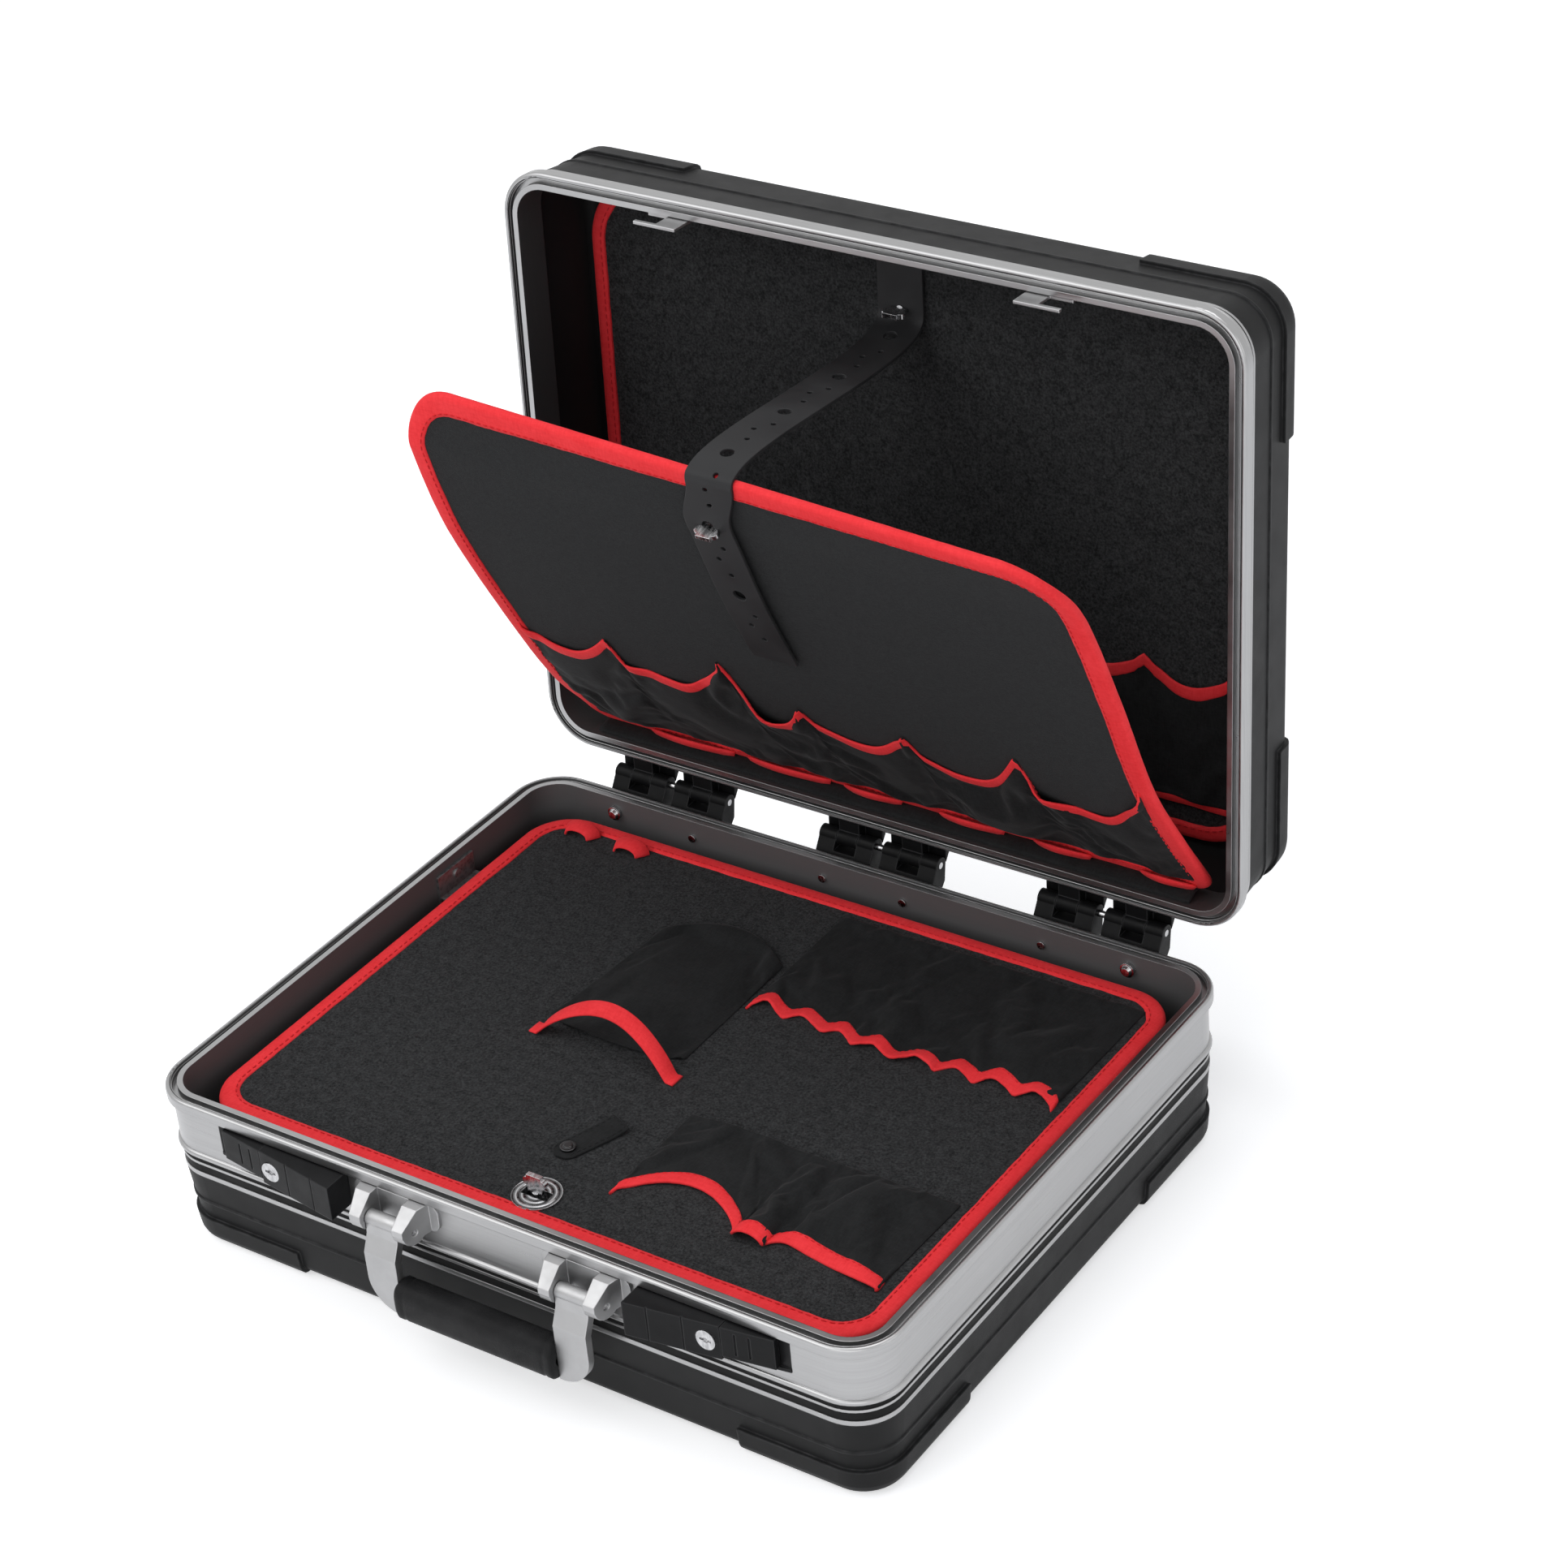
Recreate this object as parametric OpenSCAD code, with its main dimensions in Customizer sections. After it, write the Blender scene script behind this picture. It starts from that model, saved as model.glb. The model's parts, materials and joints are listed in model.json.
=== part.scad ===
// Hard tool case: two moulded shells held in aluminium frames, hinged at the back,
// with two slide latches, a carrying handle, a lift-out tool pallet in the base
// and a folding pocket panel in the lid.
// The origin is on the floor under the middle of the base; the front faces -Y.
// The lid is drawn standing open, the panel hanging forward on its strap.

/* [Case] */
// Width over the frame lips
case_w = 480; // [440:5:560]
// Depth over the frame lips
case_d = 372; // [360:4:440]
// Height of the base, floor to rim
base_h = 102; // [98:1:130]
// Height of the lid, rim to top
lid_h = 69; // [66:1:90]
// Corner radius of the frames, seen from above
corner_r = 30; // [27:1:40]
// How far the lid opens, degrees
open_angle = 93; // [85:1:100]
// Gap between the two rims when shut
rim_gap = 0.6; // [0.4:0.1:1.2]

/* [Shells] */
// Wall of the moulded shells
wall = 3; // [2.5:0.25:3.5]
// How far a shell wall leans in towards the bottom
draft = 4; // [2:0.5:5]
// Radius of the edge around the bottom of a shell
edge_r = 9; // [7:0.5:10]
// How far the shell stands behind the frame lip
shell_in = 3.2; // [2.8:0.1:3.6]
// Length of a corner pad along each side
pad_len = 62; // [40:2:90]
// How far a corner pad stands out
pad_out = 2.4; // [1.5:0.1:3]
// Height of a corner pad
pad_h = 17; // [12:1:22]
// How far the ridge around a shell stands out
ridge_out = 0.8; // [0.4:0.1:1.2]

/* [Frames] */
// Thickness of a frame, lip to inner face
frame_t = 10; // [9.5:0.25:12]
// Thickness of the outer lip
lip_w = 3.6; // [3:0.1:4]
// Height of the outer lip
lip_h = 6.5; // [5.5:0.25:8]
// Width of the open groove in the rim
groove_w = 3; // [2:0.25:3.5]
// Depth of the open groove in the rim
groove_deep = 4.5; // [3:0.25:5]
// How far the band stands behind the lip
band_in = 3; // [2.5:0.1:3.4]
// Height of the flat band on the base frame
base_band_h = 28.5; // [27:0.5:32]
// Height of the flat band on the lid frame
lid_band_h = 1.2; // [1:0.1:2]
// Height of the round bead under a band
bead_h = 4; // [3:0.25:5]
// Height of the black strip under the base bead
strip_a = 3.2; // [2.5:0.1:4]
// Height of the thin rib of a frame
rib_a = 1.6; // [1.2:0.1:2]
// Height of the lower black strip of the base
strip_b = 5.6; // [4:0.2:7]
// Height of the lowest rib of the base frame
rib_b = 2.9; // [2.4:0.1:3.4]
// Height of the black strip of the lid frame
strip_lid = 1.8; // [1.4:0.1:2.4]
// Depth of the channels that hold the black strips
strip_deep = 2.6; // [2:0.1:3]
// Reach of the frame's skirt inside the shell
skirt = 7.5; // [5:0.5:10]
// Thickness of that skirt
skirt_t = 1.8; // [1.4:0.1:2]

/* [Hinges] */
// Distance of the hinge axis behind the frame lip
hinge_back = 13; // [12:0.5:16]
// Height of the hinge axis over the base rim
hinge_rise = 3.8; // [3.4:0.2:5]
// Distance between neighbouring hinges
hinge_pitch = 150; // [120:5:165]
// Width of one half of a hinge
hinge_half_w = 38; // [30:1:44]
// Gap between the two halves of a hinge
hinge_split = 6; // [4:1:10]
// Width of a lid knuckle
lid_knuckle_w = 14; // [10:1:18]
// Outer radius of a knuckle
knuckle_r = 5; // [4.4:0.2:6]
// Diameter of a hinge pin
hinge_pin_d = 4; // [3:0.25:5]
// Running clearance of a pin, on the radius
pin_fit = 0.05; // [0.02:0.01:0.1]
// Side clearance between moving neighbours
side_gap = 0.35; // [0.3:0.05:0.6]
// Room between a knuckle and the other leaf's plate
knuckle_room = 0.7; // [0.5:0.1:1.2]

/* [Handle] */
// Distance between the handle arms, middle to middle
arm_pitch = 126; // [116:2:140]
// Width of an arm
arm_w = 21; // [18:1:26]
// Thickness of an arm
arm_t = 5; // [4:0.5:7]
// Radius of the bend at the foot of an arm
arm_bend = 20; // [14:1:22]
// Distance of the handle pivot in front of the band
pivot_out = 12; // [11:0.5:14]
// Height of the handle pivot under the rim
pivot_drop = 20; // [18:0.5:22]
// Length of the handle below its pivot
handle_drop = 54; // [52:1:66]
// Diameter of the handle pins
handle_pin_d = 4; // [3:0.25:5]
// Diameter of the rod inside the grip
core_d = 8; // [6:0.5:10]
// Height of the grip
grip_h = 24; // [20:1:28]
// Thickness of the grip
grip_t = 17; // [14:1:18]
// Width of a handle bracket at the band
bracket_w = 46; // [44:1:50]
// Width of a handle bracket at its front
bracket_front_w = 36; // [36:1:42]
// How far a handle bracket stands out
bracket_out = 20; // [18.5:0.5:22]
// Height of a handle bracket
bracket_h = 18; // [17:0.5:22]
// Gap between a handle bracket and the frame lip over it
bracket_gap = 0.5; // [0.3:0.1:2]
// Radius of a bracket's cheeks round the pin
cheek_r = 7.5; // [6.5:0.25:7.5]
// Width of the plate behind a handle bracket
bracket_plate_w = 57; // [54:1:60]
// Thickness of that plate
bracket_plate_t = 1.5; // [1:0.1:2]
// Corner radius of that plate
bracket_plate_r = 6; // [4:0.5:8]

/* [Latches] */
// Distance of a latch's middle from the middle of the case
latch_x = 143; // [140:1:150]
// Length of a latch housing
latch_l = 92; // [86:1:96]
// Height of a latch housing
latch_h = 22; // [21.5:0.5:26]
// How far a latch stands out next to the handle
latch_out_in = 17; // [13:0.5:18]
// How far a latch stands out at its outer end
latch_out_end = 3.5; // [3:0.5:8]
// Depth of the window that holds a latch
latch_window = 4; // [3.5:0.25:5]
// Length of the sliding button
slide_l = 30; // [24:1:32]
// Travel of the sliding button
slide_travel = 5; // [4:0.5:6]
// Height of the sliding button
slide_h = 19; // [17:0.25:19.5]
// Diameter of a lock cylinder
lock_d = 12; // [9:0.5:13]
// Length of a lock cylinder
lock_l = 10; // [8:0.5:11]
// Distance of a lid catch from the middle of the case
catch_x = 123; // [118:1:128]
// Width of a lid catch
catch_w = 28; // [24:1:30]
// Thickness of a lid catch
catch_t = 1.8; // [1.4:0.1:2]
// How far a lid catch reaches past the lid rim
catch_reach = 13; // [12.6:0.2:14]

/* [Tool pallet] */
// Gap between the pallet and each side wall
pallet_side_gap = 10; // [9:1:16]
// Gap between the pallet and the front and back walls
pallet_end_gap = 9; // [7:1:14]
// Corner radius of the pallet
pallet_r = 30; // [24:1:40]
// Thickness of a board
board_t = 4; // [3:0.25:5]
// Depth of the pallet's top below the rim
pallet_drop = 15; // [13:0.5:18]
// Width of the binding on a board
binding_w = 10; // [7:0.5:12]
// How far a binding stands proud of its board
binding_proud = 0.9; // [0.5:0.1:1.5]
// How high the pallet can be lifted with the lid open
pallet_lift = 60; // [30:5:60]
// Thickness of a flat pocket
pocket_t = 4.5; // [3:0.5:6]
// Width of a rest bracket along the wall
rest_w = 34; // [24:1:40]
// Distance of the side rest brackets in front of the back wall
rest_inset = 96; // [60:2:120]
// Reach of a rest bracket under the pallet
rest_reach = 20; // [16:1:24]
// Sheet thickness of the rest brackets
rest_t = 1.8; // [1.5:0.1:2]
// Distance of the turn knob behind the pallet's front edge
knob_inset = 24; // [24:1:34]
// Diameter of the turn knob's stem
knob_stem_d = 5; // [4:0.25:6]
// Length of a turn wing
wing_l = 15; // [12:0.5:16]
// Height of a turn wing
wing_h = 11; // [8:0.5:12]

/* [Lid panels] */
// Gap between the folding panel and each side wall of the lid
panel_side_gap = 15; // [12:1:25]
// Gap between the shut panel's free edge and the lid's front wall
panel_end_gap = 29.8; // [25.8:0.2:60]
// Corner radius at the free edge of the panel
panel_r = 36; // [24:2:44]
// How far the panel bows to the front
panel_bow = 12; // [8:1:14]
// Tilt of the hanging panel from the lid's rim plane, degrees
panel_tilt = 29; // [24:1:31]
// Height of the panel hinge over the lid rim
panel_hinge_z = 18; // [17:0.5:22]
// Gap between the panel hinge and the lid's inner wall
panel_hinge_gap = 4.2; // [4.2:0.2:6]
// Height of the pockets on the folding panel
panel_pocket_h = 96; // [80:2:120]
// Gap between the board on the back of the lid and each side wall
back_side_gap = 5; // [4:1:15]
// Gap between that board and the lid's front and hinge walls
back_end_gap = 7; // [5:1:20]
// Height of the pocket on that board
back_pocket_h = 86; // [60:2:110]
// Corner radius of the board on the back of the lid
back_r = 46; // [30:2:60]
// Width of the strap
strap_w = 30; // [24:1:34]
// Thickness of the strap
strap_t = 2; // [1.5:0.1:3]
// Place of the strap left of the middle
strap_x = -8; // [-20:1:20]
// Distance of the strap's upper stud from the end of the back board
strap_inset = 46; // [42:1:54]
// Length of the strap down the front of the panel
strap_hang = 150; // [60:5:160]
// Distance of the lower stud from the panel's free edge
stud_inset = 34; // [28:1:44]

/* [Hidden] */
$fn = 48;
arc_fn = 360;
loop_t = 1.6;

aluminium = [0.78, 0.78, 0.78];
black = [0.17, 0.17, 0.17];
deep_black = [0.08, 0.08, 0.08];
felt = [0.18, 0.19, 0.19];
cloth = [0.13, 0.14, 0.14];
red = [0.9, 0.2, 0.22];
steel = [0.7, 0.7, 0.72];

band_y = case_d / 2 - band_in;
inner_x = case_w / 2 - frame_t;
inner_y = case_d / 2 - frame_t;
pallet_w = 2 * (inner_x - pallet_side_gap);
pallet_d = 2 * (inner_y - pallet_end_gap);
bead_r = bead_h / 2;
base_frame_h = lip_h + base_band_h + bead_h + strip_a + rib_a + strip_b + rib_b;
lid_frame_h = lip_h + lid_band_h + bead_h + strip_lid + rib_a;
hinge_y = case_d / 2 + hinge_back;
hinge_z = base_h + hinge_rise;
lid_z = base_h + rim_gap;
pallet_z = base_h - pallet_drop;
knob_y = pallet_d / 2 - knob_inset;
rest_gap = 0.3;
rest_y = inner_y - rest_inset;
rest_top = pallet_z - board_t - binding_proud - rest_gap;
pivot_y = -(band_y + pivot_out);
pivot_z = base_h - pivot_drop;
handle_bottom = pivot_z - handle_drop;
core_end = 3;
arm_front = arm_t + 4;
latch_top = base_h - lip_h - 0.5;
latch_mid_z = latch_top - latch_h / 2;
lock_z = latch_mid_z;
bolt_t = 2.3;
bolt_z = latch_top - 0.5 - bolt_t;
bolt_l = slide_travel - 0.5;
bolt_x = catch_x + catch_w / 2 - bolt_l;
panel_hinge_y = inner_y - panel_hinge_gap;
panel_w = 2 * (inner_x - panel_side_gap);
panel_l = panel_hinge_y + inner_y - panel_end_gap;
back_w = 2 * (inner_x - back_side_gap);
back_d = 2 * (inner_y - back_end_gap);
outer_rivet_x = inner_x - 51;
rivet_x = [28, 122];
panel_arc_r = panel_l * panel_l / (8 * panel_bow) + panel_bow / 2;
back_z = lid_h - wall;
back_y = 2;
floor_lap = 3;
floor_in = shell_in + draft + edge_r + 1;

// ---------- helpers ----------

// A rectangle with true round corners.
module rounded(w, d, r) {
    square([w, d - 2 * r], center = true);
    square([w - 2 * r, d], center = true);
    for (x = [-1, 1], y = [-1, 1])
        translate([x * (w / 2 - r), y * (d / 2 - r)])
            circle(r);
}

// Carries a profile round a rectangle with round corners:
// the profile's x points outwards from the outline and its y points up.
module ring(w, d, r) {
    for (side = [[0, w, d], [90, d, w], [180, w, d], [270, d, w]])
        rotate(side[0])
            translate([-(side[1] / 2 - r), side[2] / 2, 0])
                rotate([90, 0, 90])
                    linear_extrude(side[1] - 2 * r)
                        children();
    for (corner = [[0, 1, 1], [90, -1, 1], [180, -1, -1], [270, 1, -1]])
        translate([corner[1] * (w / 2 - r), corner[2] * (d / 2 - r), 0])
            rotate(corner[0])
                rotate_extrude(angle = 90)
                    translate([r, 0])
                        children();
}

// Carries a profile round each corner only, with a leg of the given length on both sides.
module ring_corners(w, d, r, leg) {
    for (corner = [[0, 1, 1], [90, -1, 1], [180, -1, -1], [270, 1, -1]])
        translate([corner[1] * (w / 2 - r), corner[2] * (d / 2 - r), 0])
            rotate(corner[0]) {
                rotate_extrude(angle = 90)
                    translate([r, 0])
                        children();
                translate([-leg, r, 0])
                    rotate([90, 0, 90])
                        linear_extrude(leg)
                            children();
                translate([r, 0, 0])
                    rotate([90, 0, 0])
                        linear_extrude(leg)
                            children();
            }
}

// Extrudes a (y, z) outline along X, centred on x = 0.
module along_x(length) {
    translate([-length / 2, 0, 0])
        rotate([90, 0, 90])
            linear_extrude(length)
                children();
}

// Extrudes an (x, z) outline towards +Y from y = 0.
module along_y(length) {
    translate([0, length, 0])
        rotate([90, 0, 0])
            linear_extrude(length)
                children();
}

// Seats children drawn with the lid's rim plane at z = 0 and its depth along +Z.
module in_lid() {
    translate([0, hinge_y, hinge_z])
        rotate([-open_angle, 0, 0])
            translate([0, -hinge_y, lid_z - hinge_z])
                children();
}

// Seats children drawn on the panel: its hinge at y = 0, its free edge along -Y, front at -Z.
module in_panel() {
    in_lid()
        translate([0, panel_hinge_y, panel_hinge_z])
            rotate([panel_tilt, 0, 0])
                children();
}

// A slab bent to the panel's bow between two heights over its middle surface, cut to an outline.
module bowed(low, high) {
    intersection() {
        translate([0, -panel_l / 2, panel_arc_r - panel_bow])
            along_x(case_w)
                difference() {
                    circle(panel_arc_r - low, $fn = arc_fn);
                    circle(panel_arc_r - high, $fn = arc_fn);
                }
        translate([0, 0, -2 * panel_bow])
            linear_extrude(3 * panel_bow)
                children();
    }
}

// Outline of the folding panel, inset by the given amount.
module panel_outline(inset = 0) {
    difference() {
        translate([0, -panel_l / 2])
            rounded(panel_w - 2 * inset, panel_l - 2 * inset, panel_r - inset);
        translate([-case_w / 2, -panel_r])
            square([case_w, panel_r + 1]);
    }
    translate([-panel_w / 2 + inset, -panel_r - 1])
        square([panel_w - 2 * inset, panel_r + 1 - inset]);
}

// ---------- frames and shells ----------

// Section of a frame: lip, groove, band, bead and ribs, hanging from z = 0.
module frame_section(band_h, channels, height) {
    difference() {
        union() {
            translate([-frame_t, -height])
                square([frame_t - band_in, height]);
            translate([-lip_w, -lip_h])
                square([lip_w, lip_h - lip_w / 2]);
            translate([-lip_w / 2, -lip_w / 2])
                circle(lip_w / 2);
            translate([-band_in - bead_r * 0.2, -lip_h - band_h - bead_r])
                circle(bead_r);
            translate([-frame_t, -height - skirt])
                square([skirt_t, skirt + 1]);
        }
        translate([-lip_w, -groove_deep])
            mirror([1, 0])
                square([groove_w, groove_deep + 1]);
        translate([-lip_w, -lip_w / 2])
            square([lip_w / 2 - 1.4, lip_w]);
        for (channel = channels)
            translate([-band_in - strip_deep, -channel[0] - channel[1]])
                square([strip_deep + 1, channel[1]]);
    }
}

// Section of the strips that fill the channels of a frame.
module strip_section(channels) {
    for (channel = channels)
        translate([-band_in - strip_deep, -channel[0] - channel[1]])
            square([strip_deep - 0.5, channel[1]]);
}

base_channels = [
    [lip_h + base_band_h + bead_h, strip_a],
    [lip_h + base_band_h + bead_h + strip_a + rib_a, strip_b]
];
lid_channels = [[lip_h + lid_band_h + bead_h, strip_lid]];

// Section of a shell wall: it hangs from z = 0, leans in and turns under at its foot.
module wall_section(height) {
    foot = height - edge_r;
    bend = [for (a = [0:15:90]) a];
    outer = [for (a = bend) [-draft - edge_r + edge_r * cos(a), -foot - edge_r * sin(a)]];
    inner_r = edge_r - wall;
    inner = [for (a = bend) [-draft - edge_r + inner_r * cos(90 - a), -foot - inner_r * sin(90 - a)]];
    floor_edge = -draft - edge_r - floor_lap;
    translate([-shell_in, 0])
        polygon(concat(
            [[0, 0]], outer, [[floor_edge, -height], [floor_edge, -height + wall]], inner, [[-wall, 0]]
        ));
}

// Section of a corner pad: it lies on the foot of a shell wall and laps 1 mm into it.
module pad_section(height) {
    foot = height - edge_r;
    slope = draft / foot;
    top = -height + pad_h;
    bend = [for (a = [0:15:90]) a];
    outer_r = edge_r + pad_out;
    outer = [
        for (a = bend)
            [-draft - edge_r + outer_r * cos(a), max(-foot - outer_r * sin(a), -height)]
    ];
    lap = [for (a = bend) [-draft - edge_r + (edge_r - 1) * sin(a), -foot - (edge_r - 1) * cos(a)]];
    translate([-shell_in, 0])
        polygon(concat([[slope * top - 1, top], [slope * top + pad_out, top]], outer, lap));
}

// A shell hanging from z = 0: walls, floor, corner pads and a ridge around its middle.
module shell(height) {
    ridge_z = height * 0.42;
    ring(case_w, case_d, corner_r)
        wall_section(height);
    ring(case_w, case_d, corner_r)
        translate([-shell_in - draft * ridge_z / (height - edge_r) - 1, -ridge_z])
            square([1 + ridge_out, 1.6]);
    ring_corners(case_w, case_d, corner_r, pad_len)
        pad_section(height);
    translate([0, 0, -height])
        linear_extrude(wall)
            rounded(case_w - 2 * floor_in, case_d - 2 * floor_in, corner_r - floor_in);
}

module base_shell() {
    color(black)
        translate([0, 0, base_h - base_frame_h])
            shell(base_h - base_frame_h);
}

module lid_shell() {
    color(black)
        in_lid()
            translate([0, 0, lid_frame_h])
                rotate([180, 0, 0])
                    shell(lid_h - lid_frame_h);
}

module base_frame() {
    slot_l = bolt_l + slide_travel + 2;
    color(aluminium)
        difference() {
            translate([0, 0, base_h])
                ring(case_w, case_d, corner_r)
                    frame_section(base_band_h, base_channels, base_frame_h);
            for (side = [-1, 1]) {
                translate([side * latch_x, -(band_y - latch_window) - 6, latch_mid_z])
                    cube([latch_l, 12, latch_h], center = true);
                translate([
                    side * (bolt_x + slot_l / 2 - 1) - slot_l / 2, -inner_y - 4, bolt_z - 0.4
                ])
                    cube([slot_l, 5, bolt_t + 0.8]);
            }
        }
}

module lid_frame() {
    color(aluminium)
        in_lid()
            rotate([180, 0, 0])
                ring(case_w, case_d, corner_r)
                    frame_section(lid_band_h, lid_channels, lid_frame_h);
}

module base_trim_strips() {
    color(deep_black)
        translate([0, 0, base_h])
            ring(case_w, case_d, corner_r)
                strip_section(base_channels);
}

module lid_trim_strip() {
    color(deep_black)
        in_lid()
            rotate([180, 0, 0])
                ring(case_w, case_d, corner_r)
                    strip_section(lid_channels);
}

// Domed heads of the studs and rivets on the inside of the back wall.
module base_studs() {
    color(steel) {
        for (x = [-outer_rivet_x, outer_rivet_x])
            translate([x, inner_y, base_h - 10])
                rotate([90, 0, 0]) {
                    cylinder(d = 9, h = 2.5);
                    translate([0, 0, 2.5])
                        cylinder(d1 = 7, d2 = 5, h = 2, $fn = 24);
                }
        for (x = [-rivet_x[1], -rivet_x[0], rivet_x[0], rivet_x[1]])
            translate([x, inner_y, base_h - 12])
                rotate([90, 0, 0])
                    cylinder(d = 5, h = 1.4);
    }
}

// ---------- hinges ----------

function hinge_places() = [
    for (i = [-1, 0, 1], half = [-1, 1])
        i * hinge_pitch + half * (hinge_split + hinge_half_w) / 2
];

// Base leaf seen along X, with the hinge axis at the origin.
module base_leaf_section() {
    back = -hinge_back - band_in;
    rim = -hinge_rise;
    difference() {
        union() {
            translate([back, rim - 34])
                square([3, 27]);
            polygon([
                [back + 2, rim - lip_h - 0.6], [-hinge_back + 2, rim - lip_h + 1],
                [-knuckle_r, 0], [knuckle_r, 0], [knuckle_r - 2, -12], [back + 2, rim - 26]
            ]);
            circle(knuckle_r);
        }
        circle(hinge_pin_d / 2 + pin_fit);
    }
}

// Lid leaf seen along X, with the lid shut and the hinge axis at the origin.
module lid_leaf_section() {
    rim = rim_gap - hinge_rise;
    difference() {
        union() {
            polygon([
                [-hinge_back, rim + lip_w / 2 + 0.2], [-hinge_back, rim + 16],
                [-hinge_back + 3, rim + 16], [knuckle_r - 1, 3], [knuckle_r, 0],
                [-knuckle_r, -1]
            ]);
            circle(knuckle_r);
        }
        circle(hinge_pin_d / 2 + pin_fit);
    }
}

module hinge_base_leaves() {
    outer_w = (hinge_half_w - lid_knuckle_w) / 2 - side_gap;
    color(deep_black)
        translate([0, hinge_y, hinge_z])
            for (x = hinge_places()) {
                for (side = [-1, 1])
                    translate([x + side * (hinge_half_w - outer_w) / 2, 0, 0])
                        along_x(outer_w)
                            base_leaf_section();
                translate([x, 0, 0])
                    along_x(hinge_half_w - 1)
                        intersection() {
                            base_leaf_section();
                            translate([-40, -60 - knuckle_r - knuckle_room])
                                square([80, 60]);
                        }
            }
}

module hinge_lid_leaves() {
    color(deep_black)
        translate([0, hinge_y, hinge_z])
            rotate([-open_angle, 0, 0])
                for (x = hinge_places())
                    translate([x, 0, 0]) {
                        along_x(lid_knuckle_w)
                            lid_leaf_section();
                        along_x(hinge_half_w)
                            intersection() {
                                lid_leaf_section();
                                translate([-40, knuckle_r + knuckle_room])
                                    square([80, 60]);
                            }
                    }
}

module hinge_pins() {
    length = 2 * hinge_half_w + hinge_split;
    color(steel)
        for (i = [-1, 0, 1])
            translate([i * hinge_pitch, hinge_y, hinge_z])
                along_x(length)
                    circle(d = hinge_pin_d);
}

// ---------- handle ----------

// A bracket: a plate on the band and two tapering cheeks, rounded about the pin,
// with the arm's eye between them.
module handle_bracket(side) {
    window_w = arm_w + 2 * side_gap;
    top = pivot_drop - lip_h - bracket_gap;
    low = top - bracket_h;
    color(aluminium)
        translate([side * arm_pitch / 2, -band_y, pivot_z])
            difference() {
                union() {
                    intersection() {
                        translate([0, 0, -pivot_drop])
                            linear_extrude(2 * pivot_drop)
                                polygon([
                                    [-bracket_w / 2, 0], [bracket_w / 2, 0],
                                    [bracket_front_w / 2, -bracket_out], [-bracket_front_w / 2, -bracket_out]
                                ]);
                        along_x(bracket_w)
                            union() {
                                polygon([
                                    [0, top], [3 - pivot_out, top], [-bracket_out, top - 9],
                                    [-bracket_out, 0], [3 - bracket_out, low], [0, low]
                                ]);
                                translate([-pivot_out, 0])
                                    circle(cheek_r);
                            }
                    }
                    translate([0, -bracket_plate_t, (top + low) / 2])
                        along_y(bracket_plate_t)
                            rounded(bracket_plate_w, bracket_h, bracket_plate_r);
                }
                translate([-window_w / 2, -bracket_out - 1, -pivot_drop])
                    cube([window_w, bracket_out - 2, 2 * pivot_drop]);
                translate([0, -pivot_out, 0])
                    along_x(bracket_w + 2)
                        circle(d = handle_pin_d);
            }
}

module handle_bracket_left() {
    handle_bracket(-1);
}

module handle_bracket_right() {
    handle_bracket(1);
}

module handle_pins() {
    color(steel)
        for (side = [-1, 1])
            translate([side * arm_pitch / 2, pivot_y, pivot_z])
                along_x(bracket_front_w + 2)
                    circle(d = handle_pin_d);
}

// An arm: an eye round the pin, a cranked blade, and a bend that runs into the grip.
module handle_arm(side) {
    eye_r = handle_pin_d / 2 + 2.5;
    front = -arm_front;
    grip_mid = handle_bottom + grip_h / 2 - pivot_z;
    low = -handle_drop + arm_bend;
    color(aluminium)
        translate([side * arm_pitch / 2, pivot_y, pivot_z])
            difference() {
                union() {
                    along_x(arm_w)
                        union() {
                            circle(eye_r);
                            polygon([
                                [-eye_r + 0.6, 0], [-eye_r, -8], [front, -18], [front, low],
                                [front + arm_t, low], [front + arm_t, -20], [1, -9], [eye_r - 0.6, 0]
                            ]);
                        }
                    translate([0, front, low])
                        along_y(arm_t)
                            difference() {
                                translate([-arm_w / 2, -arm_bend])
                                    square([arm_w, arm_bend + 3]);
                                difference() {
                                    translate([side > 0 ? arm_w / 2 - arm_bend : -arm_w / 2 - 1, -arm_bend - 1])
                                        square([arm_bend + 1, arm_bend + 1]);
                                    translate([side * (arm_w / 2 - arm_bend), 0])
                                        circle(arm_bend);
                                }
                            }
                }
                along_x(arm_w + 2)
                    circle(handle_pin_d / 2 + pin_fit);
                translate([0, front + arm_t / 2, grip_mid])
                    translate([-side * arm_w / 2, 0, 0])
                        along_x(2 * core_end)
                            circle(d = core_d / 2);
            }
}

module handle_arm_left() {
    handle_arm(-1);
}

module handle_arm_right() {
    handle_arm(1);
}

grip_l = arm_pitch - arm_w;
grip_y = pivot_y - arm_front + arm_t / 2;
grip_z = handle_bottom + grip_h / 2;

// Steel rod through the grip, with a shouldered end in each arm.
module handle_core() {
    color(steel)
        translate([0, grip_y, grip_z]) {
            along_x(grip_l)
                circle(d = core_d);
            along_x(grip_l + 2 * core_end)
                circle(d = core_d / 2);
        }
}

// Padded grip: a flat-sided oval around the rod.
module handle_grip() {
    end_r = grip_t / 2;
    color(deep_black)
        translate([0, grip_y, grip_z])
            along_x(grip_l)
                difference() {
                    union() {
                        for (z = [-1, 1])
                            translate([0, z * (grip_h / 2 - end_r)])
                                circle(end_r);
                        square([grip_t, grip_h - grip_t], center = true);
                    }
                    circle(d = core_d);
                }
}

// ---------- latches ----------

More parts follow.
